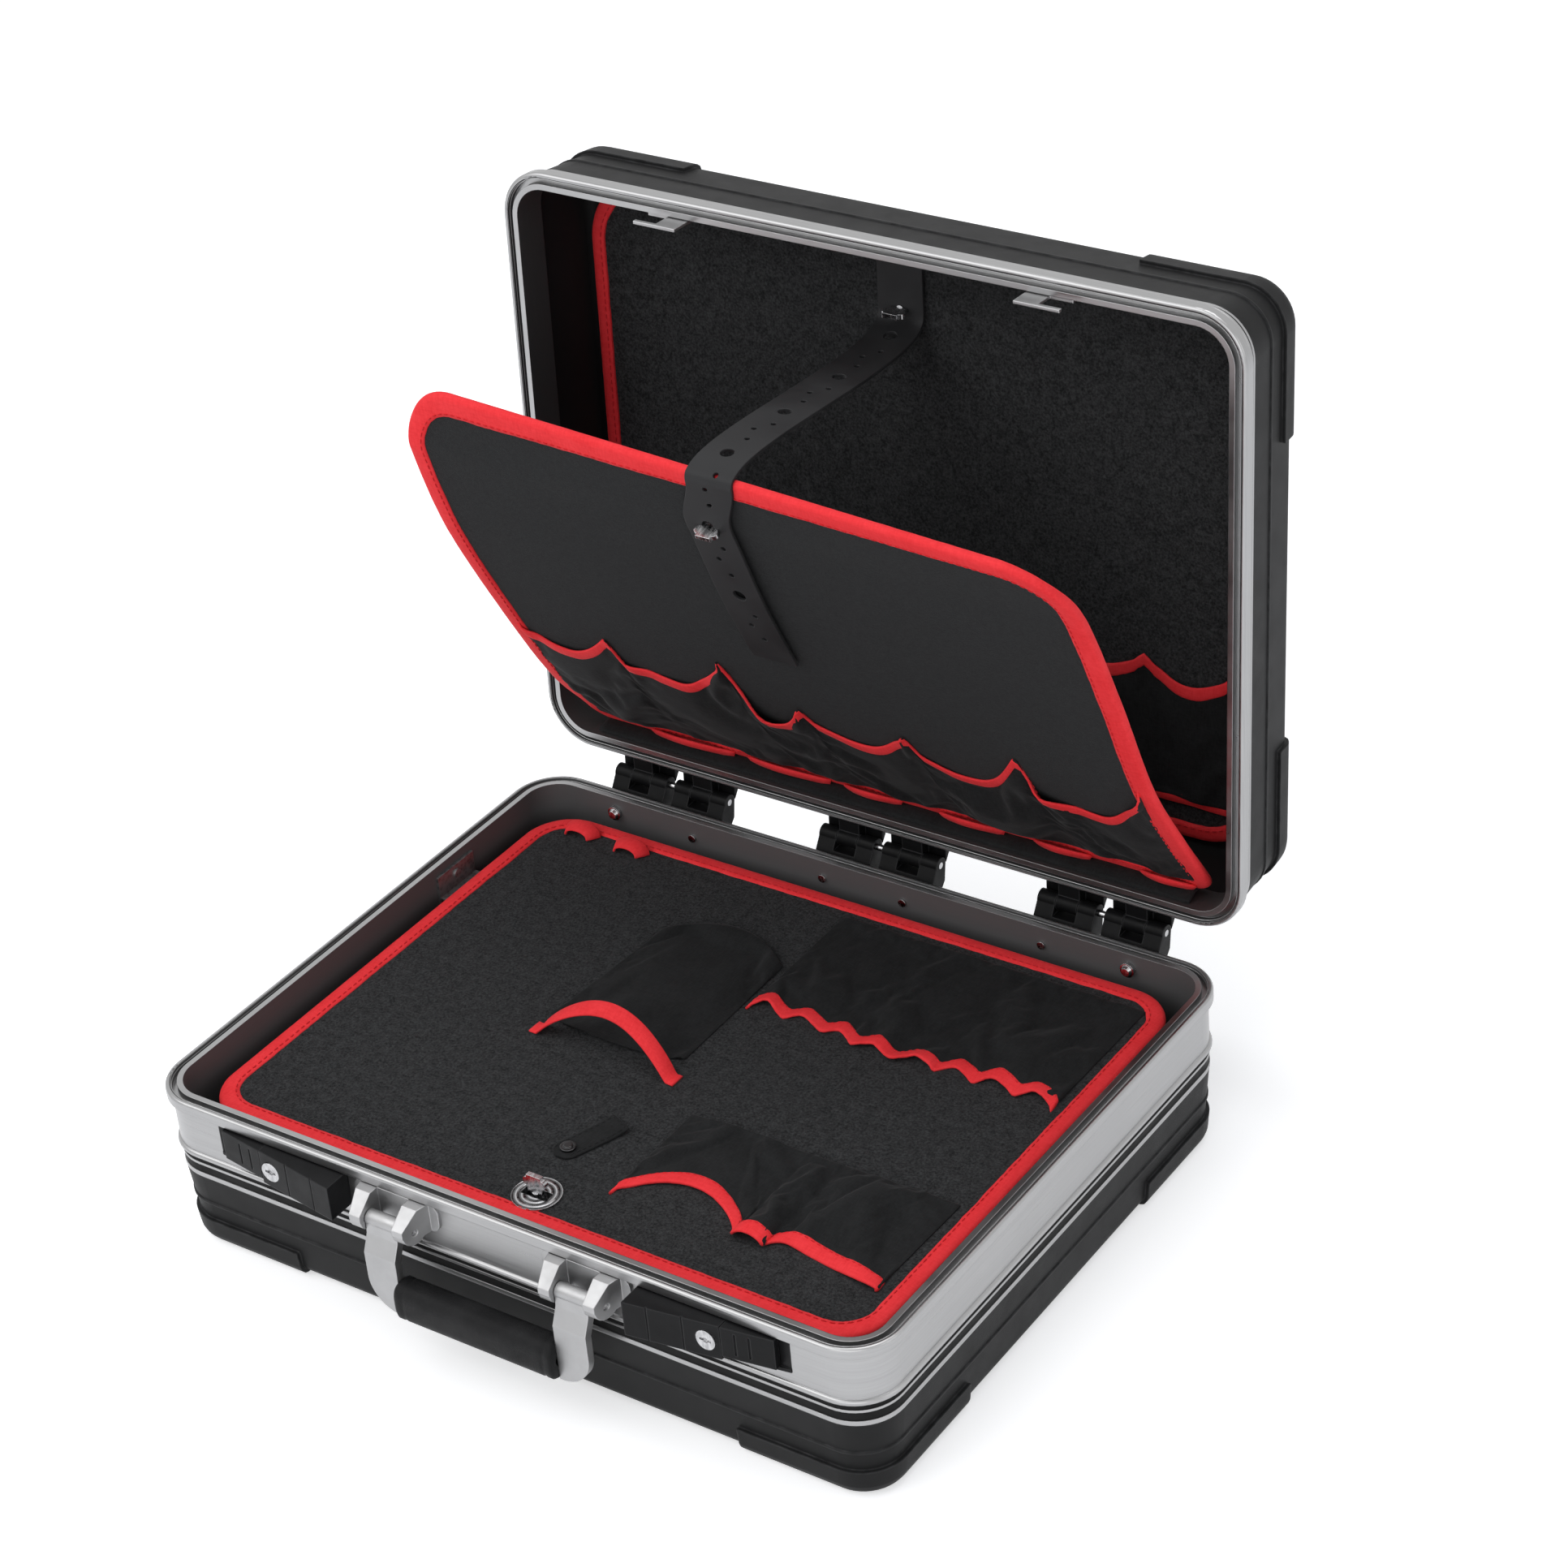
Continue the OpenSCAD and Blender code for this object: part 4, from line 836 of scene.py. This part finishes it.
def edge_tape(name, replaced, edge, inner, body, width, thick=1.5, seed=4.0, ruffle=0.0, rounds=1):
    """An elastic tape folded over a pocket's mouth, with its row of stitches."""
    edge, inner = smooth_line(edge, rounds), smooth_line(inner, rounds)
    sides = [(b - a).normalized() for a, b in zip(edge, inner)]
    sides = smooth_line([sides[3]] * 3 + sides[3:-3] + [sides[-4]] * 3, 3 * rounds)
    frames = []
    for i, here in enumerate(edge):
        ahead = edge[min(i + 1, len(edge) - 1)] - edge[max(i - 1, 0)]
        up = ahead.cross(sides[i]).normalized()
        frames.append((here, sides[i].normalized(), up))
    rim = thick / 2

    def section(i):
        w = width * (1 + 0.05 * wave(i * 0.35, seed))
        lift = ruffle * wave(i * 0.45, seed + 2)
        points = [(-0.6 - rim * 0.9, 0), (-0.6 - rim * 0.5, rim * 0.8), (0.6, rim)]
        points += [(w * 0.5, rim * 1.08), (w - 1.2, rim), (w - 0.4, rim * 0.6)]
        points += [(a, -b) for a, b in reversed(points[1:])]
        return [(a * MM, (b + lift * (1 - a / w)) * MM) for a, b in points]

    verts, faces = sweep(frames, section)
    made = piece(name, verts, faces, "red_binding", body)
    if replaced:
        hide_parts(replaced)
    line = [(p + s * (width - 1.6) * MM + n * rim * MM, n) for p, s, n in frames]
    stitches(name + "_stitches", line, "red_binding", body, 2.6, 1.6, 0.35, RED_THREAD)
    return made


def ribbon(name, replaced, path, ups, body, width, thick=1.4):
    """A flat tape through places, its broad face turned to the given directions."""
    frames = []
    for i, here in enumerate(path):
        ahead = (path[min(i + 1, len(path) - 1)] - path[max(i - 1, 0)]).normalized()
        up = (ups[i] - ups[i].project(ahead)).normalized()
        frames.append((here, ahead.cross(up), up))
    w, h = width / 2, thick / 2
    section = [(-w, -h * 0.4), (-w + 0.5, -h), (w - 0.5, -h), (w, -h * 0.4), (w, h * 0.4)]
    section += [(w - 0.5, h), (0, h * 1.1), (-w + 0.5, h), (-w, h * 0.4)]
    verts, faces = sweep(frames, [(a * MM, b * MM) for a, b in section])
    made = piece(name, verts, faces, "red_binding", body)
    if replaced:
        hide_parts(replaced)
    return made


def straight(u0, v0, u1, v1):
    """A straight edge of a pocket, as a function of the share run."""
    return lambda t: (u0 + (u1 - u0) * t, v0 + (v1 - v0) * t)


# ---------- pallet ----------

PALLET_W = (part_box("pallet_binding")[1][0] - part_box("pallet_binding")[0][0]) / MM
PALLET_D = (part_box("pallet_binding")[1][1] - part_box("pallet_binding")[0][1]) / MM
PALLET_R = 30.0

bind(
    "pallet_edge", "pallet_binding",
    round_outline(-PALLET_W / 2, PALLET_W / 2, -PALLET_D / 2, PALLET_D / 2, [PALLET_R] * 4),
    on_pallet, "pallet", width=10.5, fuller=0.3,
)


def back_mouth(t):
    """Wavy mouth of the pallet's back pocket: eight small loops, steep on their left."""
    k = (t * 8) % 1
    loop = min(k / 0.3, 1) if k < 0.3 else (1 - (k - 0.3) / 0.7) ** 0.8
    return 4 + 200 * t, 48 + 9 * loop + 3 * math.sin(t * 9 + 0.5)


cloth, edge, inner = pocket(
    "pallet_pocket_back", "pallet_back_pocket", on_pallet, "pallet", back_mouth,
    straight(3, 151, 205, 150), 4.6, (0, 0.34, 0.62, 1), 34, 90, grow=0.045, seed=3.0, top=6.5,
)
tape = edge_tape(
    "pallet_elastic_back", "pallet_pocket_elastics", edge, inner, "pallet", 8.0, 1.8, seed=5.0, ruffle=1.2
)


def front_mouth(t):
    """Mouth of the front right pocket: an open arch, a stitched step and a slanting run."""
    u = 34 + 168 * t
    if t < 0.46:
        return u, -123 + 25 * math.sin(math.pi * t / 0.46) ** 0.8
    if t < 0.58:
        return u, -123 + 2.5 * math.sin(math.pi * (t - 0.46) / 0.12)
    k = (t - 0.58) / 0.42
    return u, -123 + 11 * min(1, k / 0.12) * (1 - max(0, (k - 0.12) / 0.88) ** 1.3)


cloth, edge, inner = pocket(
    "pallet_pocket_front", "pallet_front_pocket", on_pallet, "pallet", front_mouth,
    straight(33, -46, 204, -44), 8.5, (0, 0.46, 0.58, 1), 30, 101, grow=0.05, seed=6.0, top=9.5,
)
tape = edge_tape(
    "pallet_elastic_front", None, edge, inner, "pallet", 8.5, 2.0, seed=7.0, ruffle=0.2, rounds=3
)

cloth, edge, inner = pocket(
    "pallet_pocket_middle", "pallet_middle_pocket", on_pallet, "pallet",
    lambda t: (-92 + 93 * t, -8 - 5 * math.sin(math.pi * t)),
    lambda t: (-84 + 84 * t, 92 + 18 * math.sin(math.pi * t)),
    7.0, (0, 1), 36, 44, grow=0.07, seed=9.0, top=8.0,
)

# Arched elastic over the middle pocket's mouth: it stands on two stitched feet.
path, ups = [], []
for k in range(49):
    t = k / 48
    u = -93 + 102 * t
    turn = math.pi * min(1, max(0, (t - 0.05) / 0.9))
    rise = math.sin(turn)
    path.append(on_pallet(u, -22 - 4 * t + 9 * rise, 0.9 + 23 * rise ** 0.75))
    slope = math.cos(turn) if 0.05 < t < 0.95 else 0
    ups.append(Vector((-0.55 * slope, -0.55 * rise, 1)))
arch = ribbon("pallet_arch", "pallet_tool_loop", path, ups, "pallet", 10)
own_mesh(arch)

# Small loops near the back left corner.
for side, at, back in (("left", -188, 150), ("right", -150, 148)):
    path, ups = [], []
    for k in range(25):
        t = k / 24
        a = math.pi * t
        lift = 0.8 + 5.5 * math.sin(a) ** 0.8
        path.append(on_pallet(at - 10 * math.cos(a), back + 1.5 * math.sin(a), lift))
        ups.append(Vector((-0.6 * math.cos(a), -0.25, 0.3 + math.sin(a))))
    replaced = "pallet_back_loops" if side == "left" else None
    ribbon("pallet_small_loop_" + side, replaced, path, ups, "pallet", 10)


def flap():
    """A short strap lying on the felt, its end lifting a little, with a sewn border."""
    turn = math.radians(68)
    verts = []
    rows, cols = 26, 9
    for i in range(rows):
        t = i / (rows - 1)
        along_u = -25.5 + 43 * t
        half = 8.5 * math.sqrt(max(0.0, 1 - max(0, (0.2 - t) / 0.2) ** 2.4))
        lift = 0.9 + 1.4 * max(0, t - 0.6) ** 2 * 8 + 0.25 * wave(t * 3, 4)
        for j in range(cols):
            across = (j / (cols - 1) * 2 - 1) * max(half, 0.6)
            u = along_u * math.cos(turn) - across * math.sin(turn)
            v = along_u * math.sin(turn) + across * math.cos(turn)
            verts.append(on_pallet(-2 + u, -88 + v, lift))
    made = piece("pallet_strap_flap", verts, grid_faces(rows, cols), "black_cloth", "pallet")
    thicken(made, 1.5)
    finer = made.modifiers.new("finer", "SUBSURF")
    finer.levels = finer.render_levels = 2
    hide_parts("pallet_flap")
    line = []
    for sign, order in ((1, range(2, rows - 1)), (-1, reversed(range(2, rows - 1)))):
        for i in order:
            here = verts[i * cols + (cols - 2 if sign > 0 else 1)]
            line.append((here + Vector((0, 0, 0.8 * MM)), Vector((0, 0, 1))))
    stitches("pallet_strap_flap_stitches", line, "black_cloth", "pallet", 2.4, 1.4, 0.28)


flap()

# ---------- lid back ----------

BACK_W, BACK_D, BACK_Y = 450.0, 338.0, 2.0
bind(
    "lid_back_edge", "lid_back_binding",
    round_outline(-BACK_W / 2, BACK_W / 2, BACK_Y - BACK_D / 2, BACK_Y + BACK_D / 2, [46.0] * 4),
    on_lid, "lid", seed=11.0,
)


# Half the width of the lid's back pocket, and where its foot is sewn.
LID_POCKET, LID_FOOT = 204, 146


def scallop(t):
    """Mouth of the lid's back pocket, dipping between seven stitched peaks."""
    k = (t * 7) % 1
    return -LID_POCKET + 2 * LID_POCKET * t, 56 + 17 * math.sin(math.pi * k) ** 0.7


cloth, edge, inner = pocket(
    "lid_pocket", "lid_back_pocket", on_lid, "lid", scallop,
    straight(-LID_POCKET, LID_FOOT, LID_POCKET, LID_FOOT), 7.0, [k / 7 for k in range(8)],
    30, 120, grow=0.05, seed=13.0, top=9.0,
)
tape = edge_tape("lid_elastic", "lid_pocket_elastic", edge, inner, "lid", 7.0, seed=14.0)
path = [
    on_lid(-LID_POCKET + 2 * LID_POCKET * k / 100, LID_FOOT + 0.8 * wave(k * 0.2, 3), 0.9)
    for k in range(101)
]
out = (on_lid(0, 0, 1) - on_lid(0, 0, 0)).normalized()
ribbon("lid_pocket_seam", None, path, [out] * 101, "lid", 6.5, 1.2)

# ---------- folding panel ----------

# Radii of the panel's corners, at its hinge and at its free edge.
HINGE_R, FREE_R = 14.0, 36.0
PANEL_OUTLINE = round_outline(-PANEL_W / 2, PANEL_W / 2, -PANEL_L, 0, [HINGE_R, HINGE_R, FREE_R, FREE_R])
SHEET_INSET = 1.6


def half_width(s):
    """Half the panel sheet's width at a distance from the hinge, less at its round corners."""
    half = PANEL_W / 2 - SHEET_INSET
    for near, radius in ((max(0.0, s - (PANEL_L - FREE_R)), FREE_R), (HINGE_R - s, HINGE_R)):
        if near > 0:
            r = radius - SHEET_INSET
            half = half - r + math.sqrt(max(0.0, r * r - min(near, r) ** 2))
    return half


def panel_sheet():
    """The felt-covered board: it sags and twists, and ends inside its binding."""
    rows, cols = 60, 80
    verts = []
    for front in (True, False):
        for i in range(rows + 1):
            s = SHEET_INSET + (PANEL_L - 2 * SHEET_INSET) * i / rows
            half = half_width(s)
            for j in range(cols + 1):
                u = half * (2 * j / cols - 1)
                soft = 0.35 * wave(u * 0.02 + s * 0.013, 21)
                verts.append(on_panel(u, -s, soft if front else -BOARD_T))
    size = (rows + 1) * (cols + 1)
    faces = grid_faces(rows + 1, cols + 1)
    faces += [tuple(size + corner for corner in face) for face in faces]
    ring = list(range(cols + 1))
    ring += [(i + 1) * (cols + 1) + cols for i in range(rows)]
    ring += [rows * (cols + 1) + j for j in reversed(range(cols))]
    ring += [i * (cols + 1) for i in reversed(range(1, rows))]
    for a, b in zip(ring, ring[1:] + ring[:1]):
        faces.append((a, b, size + b, size + a))
    made = piece("panel_sheet", verts, faces, "felt_board", "lid_panel", PANEL_FELT)
    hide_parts("panel_board")


panel_sheet()
bind("panel_edge", "panel_binding", PANEL_OUTLINE, on_panel, "lid_panel", width=12, seed=17.0)

# Each pocket: left and right edge, mouth height at both, and its lowest point. These and
# FOOT_SEAMS were mostly worked out by another script, through the fitted camera.
POCKETS = (
    (-207, -140, 126, 137, 110), (-138, -56, 112, 152, 105), (-54, -12, 130, 121, 92),
    (-10, 56, 103, 118, 87), (58, 130, 101, 128, 81), (132, 207, 94, 124, 76),
)
U0, U1 = POCKETS[0][0], POCKETS[-1][1]


def panel_mouth(t):
    u = U0 + (U1 - U0) * t
    for left, right, high_left, high_right, low in POCKETS:
        if u <= right + 1 or right == U1:
            k = min(1, max(0, (u - left) / (right - left)))
            s = low + (high_left - low) * max(0, 1 - k / 0.4) ** 1.7
            s += (high_right - low) * max(0, (k - 0.5) / 0.5) ** 1.7
            return u, -s


panel_seams = [0] + [(p[1] + 1 - U0) / (U1 - U0) for p in POCKETS[:-1]] + [1]
cloth, edge, inner = pocket(
    "panel_pocket_cloth", "panel_pockets", on_panel, "lid_panel", panel_mouth,
    straight(U0, -12, U1, -12), 8.0, panel_seams, 34, 133, grow=0.05, seed=19.0, top=9.0,
)
tape = edge_tape("panel_elastic", "panel_pocket_elastic", edge, inner, "lid_panel", 7.5, seed=20.0)

# Red seam tape at the pockets' foot, showing between the rivets.
FOOT_SEAMS = ((-168, -109), (-97, -40), (-28, 10), (38, 80), (102, 137), (172, 204))
for i, (start, end) in enumerate(FOOT_SEAMS):
    path, ups = [], []
    for k in range(21):
        t = k / 20
        u = start + (end - start) * t
        v = -5 - 7 * math.sin(math.pi * t)
        path.append(on_panel(u, v, 2.2 + 3.5 * math.sin(math.pi * t)))
        ups.append((on_panel(u, v, 1) - on_panel(u, v, 0)).normalized())
    ribbon(f"panel_foot_seam_{i}", None, path, ups, "lid_panel", 6.5, 1.6)


def hinge_tape():
    """The cloth that the panel hangs from, tucked along the lid's lower wall."""
    rows, cols = 9, 121
    verts = []
    for i in range(rows):
        t = i / (rows - 1)
        for j in range(cols):
            u = -205 + 410 * j / (cols - 1)
            swell = 1.2 * math.sin(math.pi * t) * (1 + 0.6 * wave(u * 0.05, 31))
            v = 171.6 + 3.4 * (1 - t) ** 2 - swell
            verts.append(LID @ Vector((u * MM, v * MM, (3.5 + 15 * t) * MM)))
    made = piece("panel_hinge_cloth", verts, grid_faces(rows, cols), "black_cloth", "lid")
    thicken(made, 0.9)
    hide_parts("panel_hinge_tape")


hinge_tape()

# ---------- strap ----------

STRAP_X, STRAP_W, STRAP_T = -8.0, 30.0, 2.0
# How far the slack strap strays to the right where it crosses the panel's edge.
STRAP_LEAN = 10.0
# From the panel's edge to its turn stud.
STUD_INSET = 34.0
# The strap's cells, and from one button hole to the next in cells.
CELL = 1.25
STRAP_CELLS = int(STRAP_W / CELL)
HOLE_STEP = 46
# Each hole: reach in cells and radius in mm.
BUTTON_HOLE, SMALL_HOLE = (4, 3.9), (2, 1.5)
# The small holes after each button hole: cells along and across.
SMALL_HOLES = ((14, 3), (22, -2), (32, 1))


def strap_route():
    """Middle line of the strap at rest, from its upper end to its lower end."""
    over = STRAP_X + STRAP_LEAN
    route = [on_lid(STRAP_X, v, 1.8) for v in range(-150, -116, 4)]
    start, end = route[-1], on_panel(over, -PANEL_L - 1.6, -6)
    pull = on_lid(STRAP_X, -92, 2.2)
    push = on_panel(over, -PANEL_L + 5, -44)
    for k in range(1, 40):
        t = k / 40
        s = 1 - t
        route.append(s ** 3 * start + 3 * s * s * t * pull + 3 * s * t * t * push + t ** 3 * end)
    for a in (0, 25, 50, 75):
        r = math.radians(a)
        v = -PANEL_L + 1 - 2.6 - 1.8 * math.cos(r) + 1.6
        route.append(on_panel(over, v, -2 + 4.6 * math.sin(r) + 0.4))
    for s in range(int(PANEL_L) - 3, 166, -3):
        lean = STRAP_LEAN * math.cos(min(1, (PANEL_L - s) / STUD_INSET) * math.pi / 2) ** 2
        h = 2.4 + 1.6 * math.sin(math.pi * (PANEL_L - s) / 160)
        route.append(on_panel(STRAP_X + lean, -s, h))
    return route


def even_line(points, step):
    """The same line with places at even steps."""
    marks = spaced(points)
    count = int(marks[-1] / step)
    made, i = [], 0
    for n in range(count + 1):
        at = n * marks[-1] / count
        while i < len(marks) - 2 and marks[i + 1] < at:
            i += 1
        made.append(points[i].lerp(points[i + 1], (at - marks[i]) / max(marks[i + 1] - marks[i], 1e-9)))
    return made


def strap_holes(route):
    """Row, column, reach and radius of each hole, set out so that the stud has a button hole."""
    rows, centre = len(route), STRAP_CELLS // 2
    stud = on_panel(STRAP_X, -PANEL_L + STUD_INSET, 2.4)
    stud_row = min(range(rows), key=lambda i: (route[i] - stud).length)
    holes = []
    for start in range(stud_row % HOLE_STEP, rows - 20, HOLE_STEP):
        holes.append((start, centre, *BUTTON_HOLE))
        for step, shift in SMALL_HOLES:
            if start + step < rows - 12:
                holes.append((start + step, centre + shift, *SMALL_HOLE))
    return holes


def perforated_strap():
    """A rubber strap with button holes and small holes, on a fine grid of cells."""
    route = even_line(smooth_line(even_line(strap_route(), 2 * MM), 3), CELL * MM)
    side = Vector((1, 0, 0))
    verts = [
        here + side * (j - STRAP_CELLS / 2) * CELL * MM for here in route for j in range(STRAP_CELLS + 1)
    ]

    def at(i, j):
        return i * (STRAP_CELLS + 1) + j

    gone = set()
    faces = []
    for row, col, reach, radius in strap_holes(route):
        for i in range(row - reach, row + reach):
            for j in range(col - reach, col + reach):
                gone.add((i, j))
        square = [(row - reach, col + k) for k in range(-reach, reach)]
        square += [(row + k, col + reach) for k in range(-reach, reach)]
        square += [(row + reach, col - k) for k in range(-reach, reach)]
        square += [(row - k, col - reach) for k in range(-reach, reach)]
        base = len(verts)
        for i, j in square:
            a = math.atan2(i - row, j - col)
            along_row = row + radius * math.sin(a) / CELL
            low = int(along_row)
            there = route[low].lerp(route[low + 1], along_row - low)
            out = col - STRAP_CELLS / 2 + radius * math.cos(a) / CELL
            verts.append(there + side * out * CELL * MM)
        for k in range(len(square)):
            m = (k + 1) % len(square)
            faces.append((at(*square[k]), at(*square[m]), base + m, base + k))
    for i in range(len(route) - 1):
        for j in range(STRAP_CELLS):
            if (i, j) not in gone:
                faces.append((at(i, j), at(i, j + 1), at(i + 1, j + 1), at(i + 1, j)))
    used = sorted({v for face in faces for v in face})
    renumber = {old: new for new, old in enumerate(used)}
    verts = [verts[v] for v in used]
    faces = [tuple(renumber[v] for v in face) for face in faces]
    made = piece("perforated_strap", verts, faces, "strap_rubber", None)
    thicken(made, STRAP_T)
    round_off(made, 0.45, 2, 50)
    freeze(made)
    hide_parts("strap_upper", "strap_lower")
    leaves_lid = on_lid(STRAP_X, -118, 0)
    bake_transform(made)


perforated_strap()

# ---------- handle grip ----------


def grip():
    """Padded grip: a flat-sided bar, fuller in the middle, with moulded end collars."""
    low, high = (Vector(corner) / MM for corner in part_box("handle_grip"))
    mid, size = (low + high) / 2, high - low
    verts = []
    rows, ring = 72, 40
    for i in range(rows + 1):
        t = i / rows
        x = low.x + size.x * t
        edge = min(t, 1 - t) * size.x
        scale = 1.0
        if edge < 1.2:
            scale = 0.90 + 0.1 * math.sqrt(edge / 1.2)
        if 5.0 < edge < 6.6:
            scale = 1 - 0.05 * math.sin(math.pi * (edge - 5.0) / 1.6)
        for k in range(ring):
            a = 2 * math.pi * k / ring
            c, s = math.cos(a), math.sin(a)
            y = math.copysign(abs(c) ** 0.72, c) * size.y / 2 * scale
            z = math.copysign(abs(s) ** 0.62, s) * size.z / 2 * scale
            verts.append(Vector((x, mid.y + y, mid.z + z)) * MM)
    made = piece("soft_grip", verts, tube_faces(rows + 1, ring), "grip_rubber", "handle")
    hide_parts("handle_grip")


grip()

# ---------- rounded edges of the hard solids ----------

# Width of the rounded edges in mm, and the nodes that have it.
EDGES = {
    1.2: ("handle_bracket_left", "handle_bracket_right"),
    1.0: ("handle_arm_left", "handle_arm_right"),
    0.6: ("latch_slide_left", "latch_slide_right"),
    0.5: (
        "latch_housing_left", "latch_housing_right", "hinge_base_leaves", "hinge_lid_leaves",
        "pallet_turn_knob", "strap_stud_lid", "strap_stud_panel",
    ),
    0.4: ("lock_cylinder_left", "lock_cylinder_right", "pallet_eyelet", "base_studs"),
    0.35: ("lid_catch_left", "lid_catch_right"),
    0.3: ("pallet_press_stud", "pallet_rests", "knob_bracket", "lid_rivets"),
}
for width, names in EDGES.items():
    for name in names:
        round_off(nodes[name], width)
